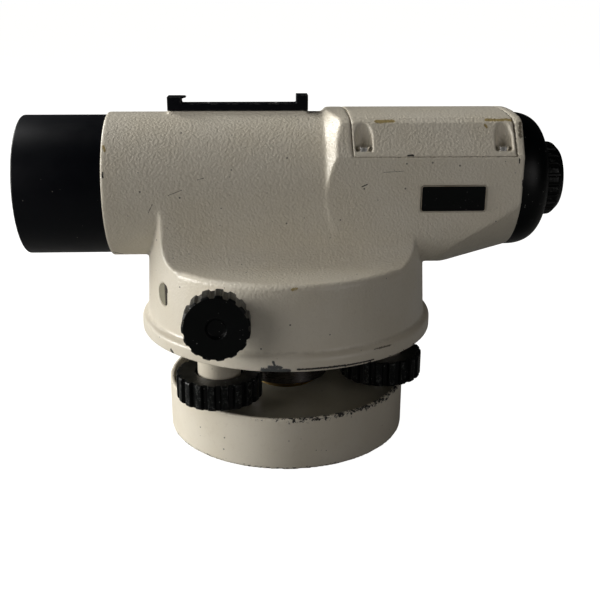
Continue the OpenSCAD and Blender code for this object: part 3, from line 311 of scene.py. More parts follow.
def ivory_paint(name, marks=None, wear=None, coarse=True, tone=IVORY):
    """Thick enamel with an orange-peel skin, specks, and grime with painted shade in its creases. wear(g) adds chips
    along an edge.
    """
    g = Graph(name)
    colour = g.mix(g.step(g.noise(0.045, 3, 0.55), 0.35, 0.68), tone, shade(tone, (0.965, 0.955, 0.93)))
    fine = g.mul(g.step(g.noise(0.6, 4, 0.6), 0.52, 0.8), 0.20)
    colour = g.mix(fine, colour, shade(tone, (0.67, 0.63, 0.58)))
    # Painted shade: creases darken towards a grime brown, partly dirt and partly the shade that falls in them.
    crease_grime_and_shade = g.mul(g.step(g.attribute("crease"), 0.10, 0.55), g.step(g.noise(0.35, 3, 0.6), 0.30, 0.62))
    colour = g.mix(g.mul(crease_grime_and_shade, 0.55), colour, CREASE_GRIME_AND_SHADE)

    dark = g.mul(g.most(g.specks(0.22, 0.085, 0.30), g.specks(0.55, 0.12, 0.05)), 0.8)
    if wear:
        dark = g.most(dark, wear(g))
    if marks:
        ragged = g.mul(g.add(g.noise(1.6, 3, 0.65), -0.5), 1.1)
        dark = g.most(dark, g.strokes(marks["chips"], ragged, lambda radius: min(1.0, radius * 1.4)))
        stains = g.strokes(marks["stains"], ragged, lambda radius: min(1.4, radius * 2.0))
        colour = g.mix(g.mul(stains, 0.85), colour, OLD_GLUE)
        for mark in marks["dirt"]:
            dirt = g.strokes([mark], ragged, lambda radius: radius * 2.2)
            colour = g.mix(g.mul(dirt, 0.8), colour, SEAM_DIRT)
    colour = g.mix(dark, colour, DARK_CHIP)
    if marks:
        bare = g.strokes(marks["bare"], ragged, lambda radius: radius * 1.2)
        colour = g.mix(bare, colour, BARE_METAL)
        g.set(Metallic=g.mul(bare, 0.6))

    peel = g.noise(1.15 if coarse else 1.6, 2, 0.45, warp=0.1)
    depth = g.blend(g.step(g.z, 58.0, 73.0), 0.09, 0.24) if coarse else 0.03
    height = g.add(g.mul(peel, depth), g.mul(g.noise(3.2, 2, 0.5), 0.008))
    height = g.math("SUBTRACT", height, g.mul(dark, 0.06))
    roughness = g.blend(dark, g.blend(g.noise(0.3, 2), 0.29, 0.38), 0.62)
    g.set(Base_Color=colour, Roughness=roughness, IOR=1.5).bump(height)
    return g.material


def black_paint(name="hood_enamel", wear=0.45):
    """Satin black anodising with a blue tint, dust and rubbed edges; on the hood's lip the lighter edge is also a
    painted highlight.
    """
    g = Graph(name)
    cloud = g.noise(0.05, 4, 0.6)
    colour = g.mix(cloud, (0.0009, 0.0015, 0.0036), (0.0018, 0.0026, 0.0052))
    dust = g.most(g.specks(0.30, 0.07, 0.22), g.specks(0.8, 0.10, 0.05))
    # Lighter grey edges: rubbed wear, and on the hood's lip a painted highlight as well.
    wear_and_highlight = g.mul(g.step(g.attribute("edge"), 0.35, 0.75), g.step(g.noise(0.5, 4, 0.65), 0.46, 0.60))
    colour = g.mix(g.mul(dust, 0.5), colour, (0.32, 0.31, 0.27))
    colour = g.mix(g.mul(wear_and_highlight, wear), colour, (0.30, 0.30, 0.28))
    g.set(Base_Color=colour, Roughness=g.blend(g.noise(0.2, 3), 0.34, 0.46), Specular_IOR_Level=0.2)
    g.bump(g.add(g.mul(g.noise(1.5, 3), 0.006), g.mul(dust, 0.02)))
    return g.material


def black_plastic(name="black_moulding", dusty=1.0):
    """Moulded black plastic, slightly glossy, with dust in its grooves and rubbed edges; on the eyepiece cover's port
    rim the lighter edge is a painted highlight.
    """
    g = Graph(name)
    colour = g.mix(g.noise(0.12, 3, 0.6), (0.0008, 0.0015, 0.0016), (0.0018, 0.0026, 0.0027))
    # Lighter grey edges: rubbed wear, and on the eyepiece cover's port rim a painted highlight.
    wear_and_highlight = g.mul(g.step(g.attribute("edge"), 0.30, 0.70), g.step(g.noise(0.9, 4, 0.7), 0.50, 0.66))
    dust = g.most(g.specks(0.5, 0.13, 0.45), g.specks(1.2, 0.15, 0.12))
    colour = g.mix(g.mul(wear_and_highlight, 0.32 * dusty), colour, (0.22, 0.23, 0.22))
    colour = g.mix(g.mul(dust, 0.55 * dusty), colour, (0.34, 0.35, 0.33))
    g.set(Base_Color=colour, Roughness=g.blend(g.noise(0.35, 3), 0.28, 0.42), Specular_IOR_Level=0.2)
    g.bump(g.add(g.mul(g.noise(2.2, 3), 0.005), g.mul(dust, 0.02)))
    return g.material


def metal(name, light, deep, rough=(0.22, 0.38), grain=0.004, turned=False):
    """Bare metal with fine machining marks, darker patches and painted shade in its creases."""
    g = Graph(name)
    where = g.vector("MULTIPLY", g.mm, (0.25, 0.25, 3.0)) if turned else g.mm
    marks = g.noise(1.8, 4, 0.6, where=where)
    patches = g.noise(0.12, 4, 0.62)
    colour = g.mix(g.step(patches, 0.35, 0.75), light, deep)
    # Painted shade: creases darken towards a deep tone of the metal.
    colour = g.mix(g.mul(g.step(g.attribute("crease"), 0.1, 0.5), 0.7), colour, shade(deep, (0.25, 0.25, 0.25)))
    g.set(Base_Color=colour, Metallic=1.0, Roughness=g.blend(marks, *rough)).bump(g.mul(marks, grain))
    return g.material


def glass(name, tint, film=0.0):
    """Clear glass with a faint smear, and a coating if film gives its thickness in nanometres."""
    g = Graph(name)
    smear = g.noise(0.15, 3)
    g.set(Base_Color=g.mix(smear, tint, shade(tint, (0.97, 0.97, 0.97))), Roughness=g.blend(smear, 0.02, 0.07))
    g.set(IOR=1.52, Transmission_Weight=1.0)
    if film:
        g.set(Thin_Film_Thickness=film, Thin_Film_IOR=1.38)
    return g.material


def graduated():
    """Pale metal circle with a dark line at every degree, longer at every fifth and tenth."""
    g = Graph("graduated_circle")
    angle = g.mul(g.math("ARCTAN2", g.y, g.x), 360 / TAU)
    radius = g.from_axis()

    def lines(every, width, inner):
        turn = g.math("FRACT", g.add(g.mul(angle, 1 / every), 500.5))
        off = g.mul(g.math("ABSOLUTE", g.add(turn, -0.5)), every)
        return g.mul(g.step(off, width, width * 0.5), g.step(radius, inner, inner + 0.05))

    marks = g.most(lines(1, 0.12, 46.6), lines(5, 0.16, 46.0), lines(10, 0.20, 45.4))
    grain = g.noise(1.2, 3, where=g.vector("MULTIPLY", g.mm, (0.3, 0.3, 4)))
    colour = g.mix(marks, g.mix(grain, (0.72, 0.72, 0.70), (0.58, 0.58, 0.56)), (0.01, 0.01, 0.01))
    g.set(Base_Color=colour, Metallic=0.85, Roughness=g.blend(grain, 0.3, 0.42)).bump(g.mul(marks, -0.03))
    return g.material


def window():
    """An old clear window, yellowed and dusty, so that little shows through it, with painted shade along one side."""
    g = Graph("dusty_window_painted_shade")
    dust = g.noise(0.7, 4, 0.6)
    colour = g.mix(dust, (0.42, 0.40, 0.30), (0.30, 0.27, 0.19))
    # Painted shade: a dark brown strip along the window's side towards +x, where the recess wall lies in shadow.
    colour = g.mix(g.step(g.x, -43.8, -43.2), colour, (0.035, 0.024, 0.014))
    g.set(Base_Color=colour, Roughness=g.blend(dust, 0.06, 0.22))
    g.set(IOR=1.49, Transmission_Weight=0.3)
    return g.material


MATERIALS = {
    "black_metal": black_paint(),
    "black_plastic": black_plastic(),
    "nameplate_black": black_plastic("nameplate_enamel", 0.3),
    "steel": metal("bright_steel", (0.86, 0.85, 0.82), (0.58, 0.57, 0.54), (0.14, 0.30)),
    "dark_steel": metal("dark_steel_metal", (0.16, 0.15, 0.15), (0.055, 0.052, 0.05), (0.20, 0.36), turned=True),
    "brass": metal("brass_metal", (0.62, 0.43, 0.17), (0.36, 0.24, 0.09)),
    "aluminium": metal("aluminium_metal", (0.70, 0.70, 0.69), (0.50, 0.50, 0.49)),
    "lens_glass": glass("coated_glass", (0.96, 0.98, 1.0), film=430),
    "vial_glass": glass("vial_fluid", (0.78, 0.90, 0.38)),
    "mirror": metal("mirror_silver", (0.90, 0.92, 0.93), (0.84, 0.86, 0.88), (0.02, 0.06), grain=0.0),
}
GRADUATED = graduated()
SIGHT = black_paint("sight_enamel", 0.12)
WINDOW = window()
BORDER = metal("plate_border", (0.72, 0.66, 0.55), (0.45, 0.38, 0.28), (0.4, 0.55))


# ---------------------------------------------------------------- mesh helpers

AXES = {
    "z": ((1, 0, 0), (0, 1, 0), (0, 0, 1)),
    "x": ((0, 1, 0), (0, 0, 1), (1, 0, 0)),
    "y": ((0, 0, 1), (1, 0, 0), (0, 1, 0)),
    "-y": ((1, 0, 0), (0, 0, 1), (0, -1, 0)),
}


def rounded(points, steps=5):
    """A closed outline of (r, h) or (r, h, fillet) points, with each fillet as an arc."""
    result = []
    count = len(points)
    for i, point in enumerate(points):
        fillet = point[2] if len(point) > 2 else 0
        here = Vector(point[:2])
        if not fillet:
            result.append(tuple(here))
            continue
        before, after = Vector(points[i - 1][:2]) - here, Vector(points[(i + 1) % count][:2]) - here
        reach = 0.499 * min(before.length, after.length)
        before.normalize()
        after.normalize()
        half = 0.5 * math.acos(max(-1, min(1, before.dot(after))))
        cut = min(fillet / math.tan(half), reach)
        radius = cut * math.tan(half)
        centre = here + (before + after).normalized() * (radius / math.sin(half))
        first, last = here + before * cut - centre, here + after * cut - centre
        a0 = math.atan2(first.y, first.x)
        sweep = (math.atan2(last.y, last.x) - a0 + math.pi) % TAU - math.pi
        for k in range(steps + 1):
            a = a0 + sweep * k / steps
            result.append((centre.x + radius * math.cos(a), centre.y + radius * math.sin(a)))
    return result


def finish_mesh(name, bm, material, body, nodes=(), angle=35):
    """Turns a bmesh into a piece."""
    bmesh.ops.remove_doubles(bm, verts=bm.verts, dist=SAME_POINT)
    bmesh.ops.recalc_face_normals(bm, faces=bm.faces)
    mesh = bpy.data.meshes.new(name)
    bm.to_mesh(mesh)
    bm.free()
    return finish_piece(name, mesh, material, body, nodes, angle)


def finish_piece(name, mesh, material, body, nodes, angle):
    """A piece that rides on a body and stands for CAD nodes. Edges over the angle in degrees are sharp."""
    mesh.polygons.foreach_set("use_smooth", [True] * len(mesh.polygons))
    if angle is not None:
        mesh.set_sharp_from_angle(angle=math.radians(angle))
    mesh.materials.clear()
    mesh.materials.append(material)
    piece = bpy.data.objects.new(name, mesh)
    scene.collection.objects.link(piece)
    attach(piece, body)
    if nodes:
        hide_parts(*nodes)
        replaced.update(nodes)
    return piece


def bridge(bm, rings):
    """Faces between each ring of vertices and the next, and between the last and the first."""
    for i, a in enumerate(rings):
        b = rings[(i + 1) % len(rings)]
        for k in range(len(a)):
            n = (k + 1) % len(a)
            corner = list(dict.fromkeys((a[k], a[n], b[n], b[k])))
            if len(corner) > 2:
                bm.faces.new(corner)


def lathe_into(bm, outline, axis, centre, turns, reach=None):
    """Turns a closed outline of (r, h). reach(angle, h) caps the radius, which cuts grooves and threads."""
    u, v, w = (Vector(a) for a in AXES[axis])
    centre = Vector(centre)
    rings = []
    for r, h in outline:
        if r < 1e-6:
            rings.append([bm.verts.new((centre + w * h) * MM)] * turns)
            continue
        ring = []
        for k in range(turns):
            a = TAU * k / turns
            radius = min(r, reach(a, h)) if reach else r
            ring.append(bm.verts.new((centre + (u * math.cos(a) + v * math.sin(a)) * radius + w * h) * MM))
        rings.append(ring)
    bridge(bm, rings)


def lathe(name, outline, axis, centre, material, body, nodes, turns, reach=None):
    """A turned piece."""
    bm = bmesh.new()
    lathe_into(bm, outline, axis, centre, turns, reach)
    return finish_mesh(name, bm, material, body, nodes)


def grooves(radius, count, depth, share):
    """The radius at an angle of a rim with softly cut grooves, which take a share of it."""
    soft = 0.07

    def reach(angle, _height):
        off = abs((angle * count / TAU + 0.5) % 1 - 0.5)
        t = max(0.0, min(1.0, (off - share / 2 + soft) / (2 * soft)))
        return radius - depth * (1 - t * t * (3 - 2 * t))
    return reach


def prism_into(bm, outline, axis, centre, low, high):
    """A straight prism over a closed outline of (u, v), from low to high along the axis."""
    u, v, w = (Vector(a) for a in AXES[axis])
    centre = Vector(centre)
    ends = [[bm.verts.new((centre + u * a + v * b + w * h) * MM) for a, b in outline] for h in (low, high)]
    bm.faces.new(ends[0])
    bm.faces.new(ends[1])
    for i in range(len(outline)):
        n = (i + 1) % len(outline)
        bm.faces.new((ends[0][i], ends[0][n], ends[1][n], ends[1][i]))


def curvature(mesh, passes=2):
    """Writes how sharply each vertex bends outward (edge) and inward (crease), from 0 to 1."""
    count = len(mesh.vertices)
    co = np.empty(count * 3)
    mesh.vertices.foreach_get("co", co)
    co = co.reshape(-1, 3)
    normal = np.empty(count * 3, np.float32)
    mesh.vertices.foreach_get("normal", normal)
    normal = normal.reshape(-1, 3).astype(float)
    pairs = np.empty(len(mesh.edges) * 2, np.int32)
    mesh.edges.foreach_get("vertices", pairs)
    a, b = pairs.reshape(-1, 2).T
    along = co[b] - co[a]
    length = np.maximum(np.linalg.norm(along, axis=1), 1e-9)
    bend = ((normal[b] - normal[a]) * along).sum(1) / length ** 2 * MM
    total, weight = np.zeros(count), np.zeros(count)
    for ends in (a, b):
        np.add.at(total, ends, bend)
        np.add.at(weight, ends, 1)
    value = total / np.maximum(weight, 1)
    for _ in range(passes):
        total, weight = value.copy(), np.ones(count)
        np.add.at(total, a, value[b])
        np.add.at(total, b, value[a])
        np.add.at(weight, a, 1)
        np.add.at(weight, b, 1)
        value = total / weight
    for name, sign in (("edge", 1), ("crease", -1)):
        layer = mesh.attributes.new(name, "FLOAT", "POINT")
        layer.data.foreach_set("value", np.clip(sign * value, 0, 1).astype(np.float32))


def evaluated(piece):
    """The piece's mesh with its modifiers applied."""
    bpy.context.view_layer.update()
    graph = bpy.context.evaluated_depsgraph_get()
    return bpy.data.meshes.new_from_object(piece.evaluated_get(graph))


def strip_normals(mesh):
    for layer in [a.name for a in mesh.attributes if a.name in ("custom_normal", "sharp_edge", "sharp_face")]:
        mesh.attributes.remove(mesh.attributes[layer])


def cast_skin(name, node, material, body, voxel, smooth, most=190000, extra=None):
    """A casting's surface: the node's solid as one skin, with every corner softened. extra(bm) adds a shape to it."""
    bm = bmesh.new()
    bm.from_mesh(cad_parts[node].data)
    bmesh.ops.remove_doubles(bm, verts=bm.verts, dist=1e-6)
    if extra:
        extra(bm)
    mesh = bpy.data.meshes.new(name + "_rough")
    bm.to_mesh(mesh)
    bm.free()
    strip_normals(mesh)
    rough = bpy.data.objects.new(name + "_rough", mesh)
    scene.collection.objects.link(rough)
    remesh = rough.modifiers.new("remesh", "REMESH")
    remesh.mode, remesh.voxel_size, remesh.use_smooth_shade = "VOXEL", voxel * MM, True
    soften = rough.modifiers.new("soften", "SMOOTH")
    soften.factor, soften.iterations = 0.5, smooth
    skin = evaluated(rough)
    triangles = sum(len(p.vertices) - 2 for p in skin.polygons)
    if triangles > most:
        thin = rough.modifiers.new("thin", "DECIMATE")
        thin.ratio = most / triangles
        skin = evaluated(rough)
    bpy.data.objects.remove(rough)
    skin.name = name
    strip_normals(skin)
    curvature(skin)
    return finish_piece(name, skin, material, body, (node,), None)


def dress(node, material, bevel):
    """Gives a CAD node its material, and a fine bevel on its sharp edges."""
    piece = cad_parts[node]
    mesh = piece.data
    if "custom_normal" in mesh.attributes:
        mesh.attributes.remove(mesh.attributes["custom_normal"])
    mesh.polygons.foreach_set("use_smooth", [True] * len(mesh.polygons))
    for slot in piece.material_slots:
        slot.material = material
    weld = piece.modifiers.new("weld", "WELD")
    weld.merge_threshold = 1e-6
    if bevel:
        edge = piece.modifiers.new("bevel", "BEVEL")
        edge.width, edge.segments = bevel * MM, 2
        edge.limit_method, edge.angle_limit = "ANGLE", math.radians(40)
        edge.harden_normals = True
        edge.use_clamp_overlap = True


# ---------------------------------------------------------------- castings

def along_rim(radius, z, start, end, size, step=4.0):
    """Mark segments that follow a rim about the standing axis, between two angles and a step in degrees."""
    count = max(1, round(abs(end - start) / step))
    turns = [math.radians(start + (end - start) * i / count) for i in range(count + 1)]
    points = [(radius * math.cos(t), radius * math.sin(t), z) for t in turns]
    return [(a, b, size) for a, b in zip(points, points[1:])]


# Marks on the housing and its cover, each from a point to a point with a radius.
HOUSING_MARKS = {
    "chips": [
        ((40.8, -25.8, 108.2), (42.6, -25.7, 108.3), 0.42), ((-62.8, -24.6, 102.8), (-62.8, -25.0, 101.3), 0.4),
        ((-62.7, -13.4, 71.9), (-60.0, -10.8, 70.4), 0.45), ((25.3, -26.1, 97.7), (27.1, -26.1, 98.5), 0.2),
        ((-41.3, -36.0, 42.6), (-40.7, -36.6, 41.8), 0.7), ((79.2, -26.0, 107.0), (79.4, -26.0, 105.6), 0.3),
        ((80.9, -25.8, 99.6), (81.1, -25.8, 97.5), 0.35),
        *along_rim(54.75, 42.4, -88, -71, 0.45), *along_rim(54.75, 42.3, -71, -59, 0.4),
    ],
    "stains": [
        ((30.6, -18.9, 118.9), (36.0, -18.7, 119.1), 1.15), ((68.9, -18.3, 119.3), (74.6, -18.3, 119.3), 1.0),
        ((75.6, -18.0, 119.5), (77.3, -18.5, 119.1), 0.9), ((68.0, -20.0, 117.6), (68.5, -20.4, 117.0), 0.6),
        ((0.4, -51.5, 69.1), (1.6, -51.5, 69.5), 0.85), ((-62.9, -19.9, 111.0), (-62.3, -21.0, 109.5), 0.6),
    ],
    "dirt": [
        ((22.4, -26.0, 107.75), (78.2, -26.0, 107.75), 0.2), ((78.5, -26.0, 107.9), (78.0, -19.0, 119.0), 0.42),
        ((22.1, -26.0, 107.9), (21.6, -19.0, 119.0), 0.25), ((80.0, -22.2, 114.0), (80.2, -19.4, 118.4), 0.7),
        ((32.6, -26.1, 102.6), (39.5, -26.1, 103.0), 0.1), ((-41.3, -25.9, 95.0), (-36.3, -25.9, 96.9), 0.12),
        ((-46.6, -25.9, 92.0), (-48.1, -25.4, 89.0), 0.16), ((-31.1, -25.2, 100.2), (-28.8, -25.1, 100.8), 0.16),
        ((-9.8, -54.0, 46.2), (-2.6, -54.6, 46.2), 0.25), ((28.2, -47.0, 46.0), (34.7, -42.4, 45.7), 0.4),
    ],
    "bare": [
        ((-9.6, -53.9, 42.1), (-1.0, -54.7, 42.0), 0.95), ((-7.4, -54.3, 43.1), (-3.6, -54.6, 43.1), 0.85),
        ((-5.7, -54.5, 43.8), (-6.1, -54.4, 45.0), 0.55),
    ],
}


def castings():
    head = ivory_paint("telescope_enamel", HOUSING_MARKS, flange_wear)
    cast_skin("housing_casting", "housing", head, "head", 0.5, 4)
    cast_skin("lid_casting", "top_cover", head, "head", 0.35, 4, most=120000)
    base = ivory_paint("base_enamel", wear=rim_wear, coarse=False)
    cast_skin("base_casting", "base_plate", base, "base", 0.5, 4, most=150000)
    plain = ivory_paint("tribrach_enamel", coarse=False)
    cast_skin("tribrach_casting", "tribrach_plate", plain, "tribrach", 0.5, 4, most=120000)


# ---------------------------------------------------------------- turned pieces

def hood():
    """The objective's hood, with ten turns of thread in its mouth."""
    lo, hi = corners("objective_hood")
    axis_z = (lo.z + hi.z) / 2
    outer = (hi.z - lo.z) / 2
    x0, x1 = lo.x, hi.x
    mouth, thread, seat = outer - 2.6, outer - 2.3, x0 + 16.3
    outline = [(mouth + 0.3, x0, 0.25), (outer, x0, 0.7), (outer, x1, 0.25), (thread, x1, 0.1), (thread, seat)]
    start, pitch = x0 + 2.0, 1.3
    for k in range(10):
        h = start + pitch * (10 - k)
        outline += [(mouth, h - 0.15, 0.05), (mouth + 0.35, h - pitch * 0.45), (mouth, h - pitch * 0.85, 0.05)]
    piece = lathe("objective_hood_skin", rounded(outline), "x", (0, 0, axis_z), MATERIALS["black_metal"],
                  "head", ("objective_hood",), turns=256)
    # The front lip is marked for a lighter edge: wear and a painted highlight.
    rim_attribute(piece, lambda p: 1 - abs(p.x - x0) / 0.7)


def rim_attribute(piece, wear):
    """Writes how worn each vertex is, from 0 to 1, by its place; on the hood's lip and the eyepiece cover's port rim
    this lighter edge is also a painted highlight.
    """
    layer = piece.data.attributes.new("edge", "FLOAT", "POINT")
    layer.data.foreach_set("value", [min(1.0, max(0.0, wear(v.co / MM))) for v in piece.data.vertices])


def lens(name, node, front_sag, rear_sag, body):
    """A lens with two parabolic faces."""
    lo, hi = corners(node)
    centre_z, r = (lo.z + hi.z) / 2, (hi.z - lo.z) / 2
    steps = 14
    front = [(r * k / steps, lo.x + front_sag * (k / steps) ** 2) for k in range(steps + 1)]
    rear = [(r * k / steps, hi.x - rear_sag * (k / steps) ** 2) for k in range(steps, -1, -1)]
    lathe(name, front + rear, "x", (0, 0, centre_z), MATERIALS["lens_glass"], body, (node,), turns=128)


def eyepiece_cap():
    """The domed cover round the eyepiece. An exponent below 1 makes the dome fuller than an arc."""
    lo, hi = corners("eyepiece_cover")
    axis_z, base_r = (lo.z + hi.z) / 2, (hi.z - lo.z) / 2
    x0, length = lo.x, 12.4
    dome_r, port_r, wall = 12.6, 14.2, 2.6
    dome_c = base_r - dome_r
    steps, full = 22, 0.8
    last = math.asin(min(1.0, (length - 0.25) / dome_r))
    outline = []
    for k in range(steps + 1):
        a = last * k / steps
        rise = (math.sin(a) / math.sin(last)) ** full
        outline.append((dome_c + dome_r * math.cos(a) ** full, x0 + (length - 0.25) * rise))
    outline += [(port_r + 0.75, x0 + length + 0.02), (port_r + 0.15, x0 + length), (port_r, x0 + length - 0.2)]
    outline += [(port_r, x0 + 0.6), (base_r - wall, x0 + 0.6), (base_r - wall, x0), (base_r - 0.35, x0)]
    piece = lathe("eyepiece_cover_skin", outline, "x", (0, 0, axis_z), MATERIALS["black_plastic"],
                  "head", ("eyepiece_cover",), turns=224)
    # Painted highlight: the port's front rim is marked for a lighter grey edge.
    rim_attribute(piece, lambda p: 1.0 if math.hypot(p.y, p.z - axis_z) < port_r + 1.1 and p.x > x0 + 11.9 else 0.0)


def worn_ribs(piece, centre, radius, axis):
    """Wear on what stands out furthest from the axis."""
    others = [i for i in range(3) if i != "xyz".index(axis[-1])]

    def wear(p):
        away = math.hypot(*(p[i] - centre[i] for i in others))
        return 0.6 * max(0.0, 1 - (radius - away) / 0.5)
    rim_attribute(piece, wear)


def knob(node, outline, axis, centre, radius, body, turns, ribs, depth, share):
    """A black knob turned about an axis, with grooves between its ribs."""
    piece = lathe(node + "_skin", rounded(outline), axis, centre, MATERIALS["black_plastic"],
                  body, (node,), turns, grooves(radius, ribs, depth, share))
    worn_ribs(piece, Vector(centre), radius, axis)


def foot_knobs():
    for letter in "abc":
        node = "foot_knob_" + letter
        lo, hi = corners(node)
        centre = ((lo.x + hi.x) / 2, (lo.y + hi.y) / 2, lo.z)
        r, h = 15.6, hi.z - lo.z
        bore, recess_r, floor = 3.5, 8.8, 1.7
        outline = [(bore, 0, 0.15), (r, 0, 0.9), (r, h, 0.7), (recess_r, h, 0.35), (recess_r, floor, 0.3),
                   (bore, floor, 0.15)]
        knob(node, outline, "z", centre, r, "foot_%s_screw" % letter, 640, 20, 1.2, 0.44)


def tangent_knobs():
    for side, name, axis in ((-1, "near", "-y"), (1, "far", "y")):
        node = "tangent_knob_" + name
        lo, hi = corners(node)
        r, w = (hi.x - lo.x) / 2, hi.y - lo.y
        inner = min(abs(lo.y), abs(hi.y))
        centre = ((lo.x + hi.x) / 2, side * inner, (lo.z + hi.z) / 2)
        bore, dimple, deep = 2.5, 3.3, 1.1
        outline = [(bore, 0), (r - 1.6, 0, 0.5), (r, 1.6, 0.6), (r, w - 0.6, 0.5), (r - 0.7, w, 0.5),
                   (dimple + 0.25, w, 0.2), (dimple - 0.5, w - deep, 0.5), (0, w - deep * 1.08),
                   (0, w - 4.0), (bore, w - 4.0)]
        knob(node, outline, axis, centre, r, "tangent_drive", 540, 15, 0.75, 0.42)


def focusing_knob():
    lo, hi = corners("focus_knob")
    r, w = (hi.x - lo.x) / 2, hi.y - lo.y
    centre = ((lo.x + hi.x) / 2, lo.y, (lo.z + hi.z) / 2)
    bore = 2.3
    outline = [(bore, 0), (r - 0.9, 0, 0.4), (r, 0.9, 0.4), (r, w, 0.9), (r - 3, w, 0.3), (r - 3, w - 1.2, 0.4),
               (4.6, w - 1.2, 0.2), (4.2, w - 1.5, 0.2), (0, w - 1.5), (0, w - 4), (bore, w - 4)]
    knob("focus_knob", outline, "y", centre, r, "focus_control", 560, 28, 0.85, 0.42)


def eyepiece_grip():
    lo, hi = corners("eyepiece_ring")
    r, w = (hi.z - lo.z) / 2, hi.x - lo.x
    centre = (lo.x, 0, (lo.z + hi.z) / 2)
    bore, port, seat = 11.15, 7.5, 4.9
    outline = [(bore, 0), (r - 1.2, 0, 0.4), (r, 1.2, 0.5), (r, w - 2.6, 2.2), (r - 2.6, w, 1.4),
               (9.4, w, 0.5), (port, w - 1.9, 0.4), (port, seat), (bore, seat)]
    knob("eyepiece_ring", outline, "x", centre, r, "eyepiece_grip", 480, 24, 0.6, 0.34)


def bottom_disc():
    """The cover under the foot screws, a smooth turned sheet with its three holes."""
    material = ivory_paint("disc_enamel", coarse=False, tone=(0.30, 0.28, 0.22))
    cast_skin("cover_disc_skin", "cover_disc", material, "base", 0.35, 2, most=150000)


def tripod_thread():
    """The brass bush with its 5/8 inch by 11 thread."""
    _, hi = corners("tripod_bush")
    outer, height = hi.x, hi.z
    bore, pitch, depth, run_out, chamfer = 6.8, 25.4 / 11, 0.9, 1.2, 0.4
    turns, rows = 96, 91
    bm = bmesh.new()

    def ring(radius, h):
        return [bm.verts.new((radius(k) * math.cos(TAU * k / turns) * MM, radius(k) * math.sin(TAU * k / turns) * MM,
                              h * MM)) for k in range(turns)]

    def groove(k, h):
        phase = (h / pitch - k / turns) % 1
        return depth * max(0.0, 1 - abs(phase - 0.5) * 2.3) * max(0.0, min(1.0, h / run_out, (height - h) / run_out))

    rings = []
    for row in range(rows + 1):
        h = height * row / rows
        rings.append(ring(lambda k: bore + groove(k, h), h))
    for r, h in ((outer - chamfer, height), (outer, height - chamfer), (outer, chamfer), (outer - chamfer, 0)):
        rings.append(ring(lambda k: r, h))
    bridge(bm, rings)
    finish_mesh("tripod_bush_threaded", bm, MATERIALS["brass"], "base", ("tripod_bush",), 30)


# ---------------------------------------------------------------- small pieces

def plate_outline(length, height, radius):
    return rounded([(-length / 2, -height / 2, radius), (length / 2, -height / 2, radius),
                    (length / 2, height / 2, radius), (-length / 2, height / 2, radius)], 8)


def nameplate():
    """The bare plate with a thin metal border."""
    lo, hi = corners("nameplate")
    centre = ((lo.x + hi.x) / 2, 0, (lo.z + hi.z) / 2)
    length, height = hi.x - lo.x, hi.z - lo.z
    face = -lo.y
    bm = bmesh.new()
    prism_into(bm, plate_outline(length, height, 1.0), "-y", centre, -hi.y, face - 0.12)
    plate = finish_mesh("nameplate_skin", bm, MATERIALS["nameplate_black"], "head", ("nameplate",))
    plate.modifiers.new("bevel", "BEVEL").width = 0.1 * MM
    bm = bmesh.new()
    outer, inner = plate_outline(length - 0.1, height - 0.1, 0.95), plate_outline(length - 0.65, height - 0.65, 0.7)
    u, v, w = (Vector(a) for a in AXES["-y"])
    loops = []
    for outline, h in ((outer, face - 0.14), (outer, face), (inner, face), (inner, face - 0.14)):
        loops.append([bm.verts.new((Vector(centre) + u * a + v * b + w * h) * MM) for a, b in outline])
    bridge(bm, loops)
    finish_mesh("nameplate_border", bm, BORDER, "head")


def peep_sight():
    """The sight's bar and posts, with a small flag on each half of the post that has the slot."""
    lo, hi = corners("peep_sight")
    left, flag = lo.x + 5.0, 1.7

    def flags(bm):
        for y0, y1 in ((lo.y, -0.6), (0.6, hi.y)):
            prism_into(bm, [(left - 0.6, hi.z - 1.5), (left + flag, hi.z - 0.95), (left + flag * 0.55, hi.z - 0.62),
                            (left - 0.6, hi.z - 0.62)], "-y", (0, 0, 0), -y1, -y0)

    cast_skin("peep_sight_skin", "peep_sight", SIGHT, "head", 0.18, 3, most=60000, extra=flags)


def level_details():
    """The circular level's ring mark and its bubble."""
    lo, hi = corners("level_vial")
    centre = (lo + hi) / 2
    bm = bmesh.new()
    ring = rounded([(2.9, 0, 0.03), (3.2, 0, 0.03), (3.2, 0.12, 0.03), (2.9, 0.12, 0.03)], 2)
    lathe_into(bm, ring, "z", (centre.x, centre.y, hi.z + 0.02), 64)
    finish_mesh("level_ring", bm, MATERIALS["black_plastic"], "head")
    bubble = [(2.5 * math.cos(a), 0.45 * math.sin(a)) for a in (math.pi * (k / 16 - 0.5) for k in range(17))]
    bubble[0], bubble[-1] = (0, bubble[0][1]), (0, bubble[-1][1])
    air = glass("bubble_air", (0.97, 1.0, 0.9))
    lathe("level_bubble", bubble, "z", (centre.x + 0.3, centre.y - 0.2, hi.z - 0.75), air, "head",
          (), 64)


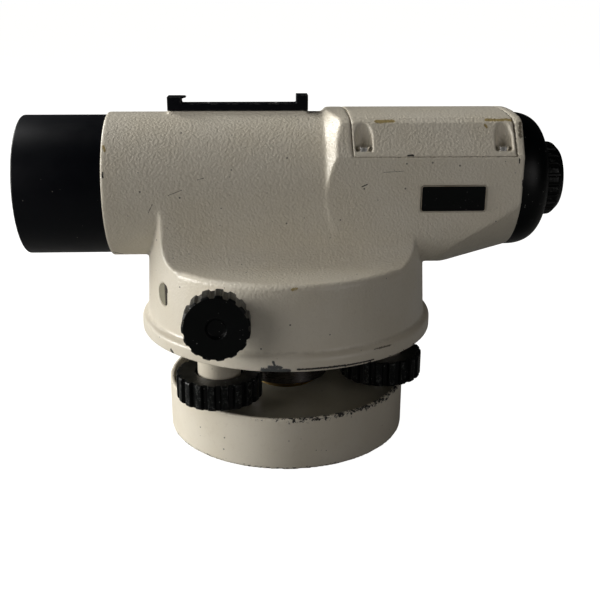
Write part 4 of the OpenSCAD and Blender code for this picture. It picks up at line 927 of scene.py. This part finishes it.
# Bevels of the CAD nodes that have no mesh of their own here.
PLAIN_BEVEL = 0.15
CAD_BEVELS = {
    "axis_sleeve": 0.3, "spindle": 0.3, "spindle_nut": 0.3, "bearing_plate": 0.3, "circle_window": 0.1,
    "compensator_frame": 0.25, "pendulum": 0.15, "prism": 0.2, "horizontal_circle": 0.1, "mirror_frame": 0.15,
    "mirror_glass": 0.1, "level_housing": 0.25, "level_vial": 0.2, "focus_cell": 0.2, "focus_pinion": 0.05,
    "worm": 0.05, "worm_wheel": 0.08, "top_cover_screws": 0.08, "peep_sight_screws": 0.08,
    "focus_lens": 0, "foot_ball_a": 0.1, "foot_ball_b": 0.1, "foot_ball_c": 0.1,
}


def cad_nodes():
    """Dresses every CAD node that nothing replaces."""
    for node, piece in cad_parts.items():
        if node in replaced:
            continue
        slot = piece.material_slots[0].material.name.split(".")[0]
        material = {"horizontal_circle": GRADUATED, "circle_window": WINDOW}.get(node, MATERIALS[slot])
        dress(node, material, CAD_BEVELS.get(node, PLAIN_BEVEL))


# ---------------------------------------------------------------- the scene

def add_floor():
    """A pale floor that glows for the camera and lights nothing else, so the object keeps its shaded side."""
    bm = bmesh.new()
    bmesh.ops.create_grid(bm, x_segments=1, y_segments=1, size=60)
    mesh = bpy.data.meshes.new("floor")
    bm.to_mesh(mesh)
    bm.free()
    g = Graph("pale_floor")
    cloud = g.noise(0.01, 2)
    g.set(Base_Color=g.mix(cloud, (0.21, 0.21, 0.205), (0.19, 0.19, 0.185)), Roughness=0.8)
    g.set(Emission_Color=(1, 1, 0.99), Emission_Strength=FLOOR_GLOW)
    mesh.materials.append(g.material)
    floor = bpy.data.objects.new("floor", mesh)
    scene.collection.objects.link(floor)
    lit = bpy.data.collections.new("lit_by_floor")
    floor.light_linking.receiver_collection = lit
    lit.objects.link(floor)


scene.view_settings.view_transform = "Standard"
add_camera()
add_lights()
add_world()
add_floor()
castings()
hood()
lens("objective_lens_skin", "objective_lens", 1.7, 1.2, "head")
lens("eyepiece_lens_skin", "eyepiece_lens", 1.0, 0.9, "eyepiece")
eyepiece_cap()
foot_knobs()
tangent_knobs()
focusing_knob()
eyepiece_grip()
bottom_disc()
tripod_thread()
nameplate()
peep_sight()
level_details()
cad_nodes()
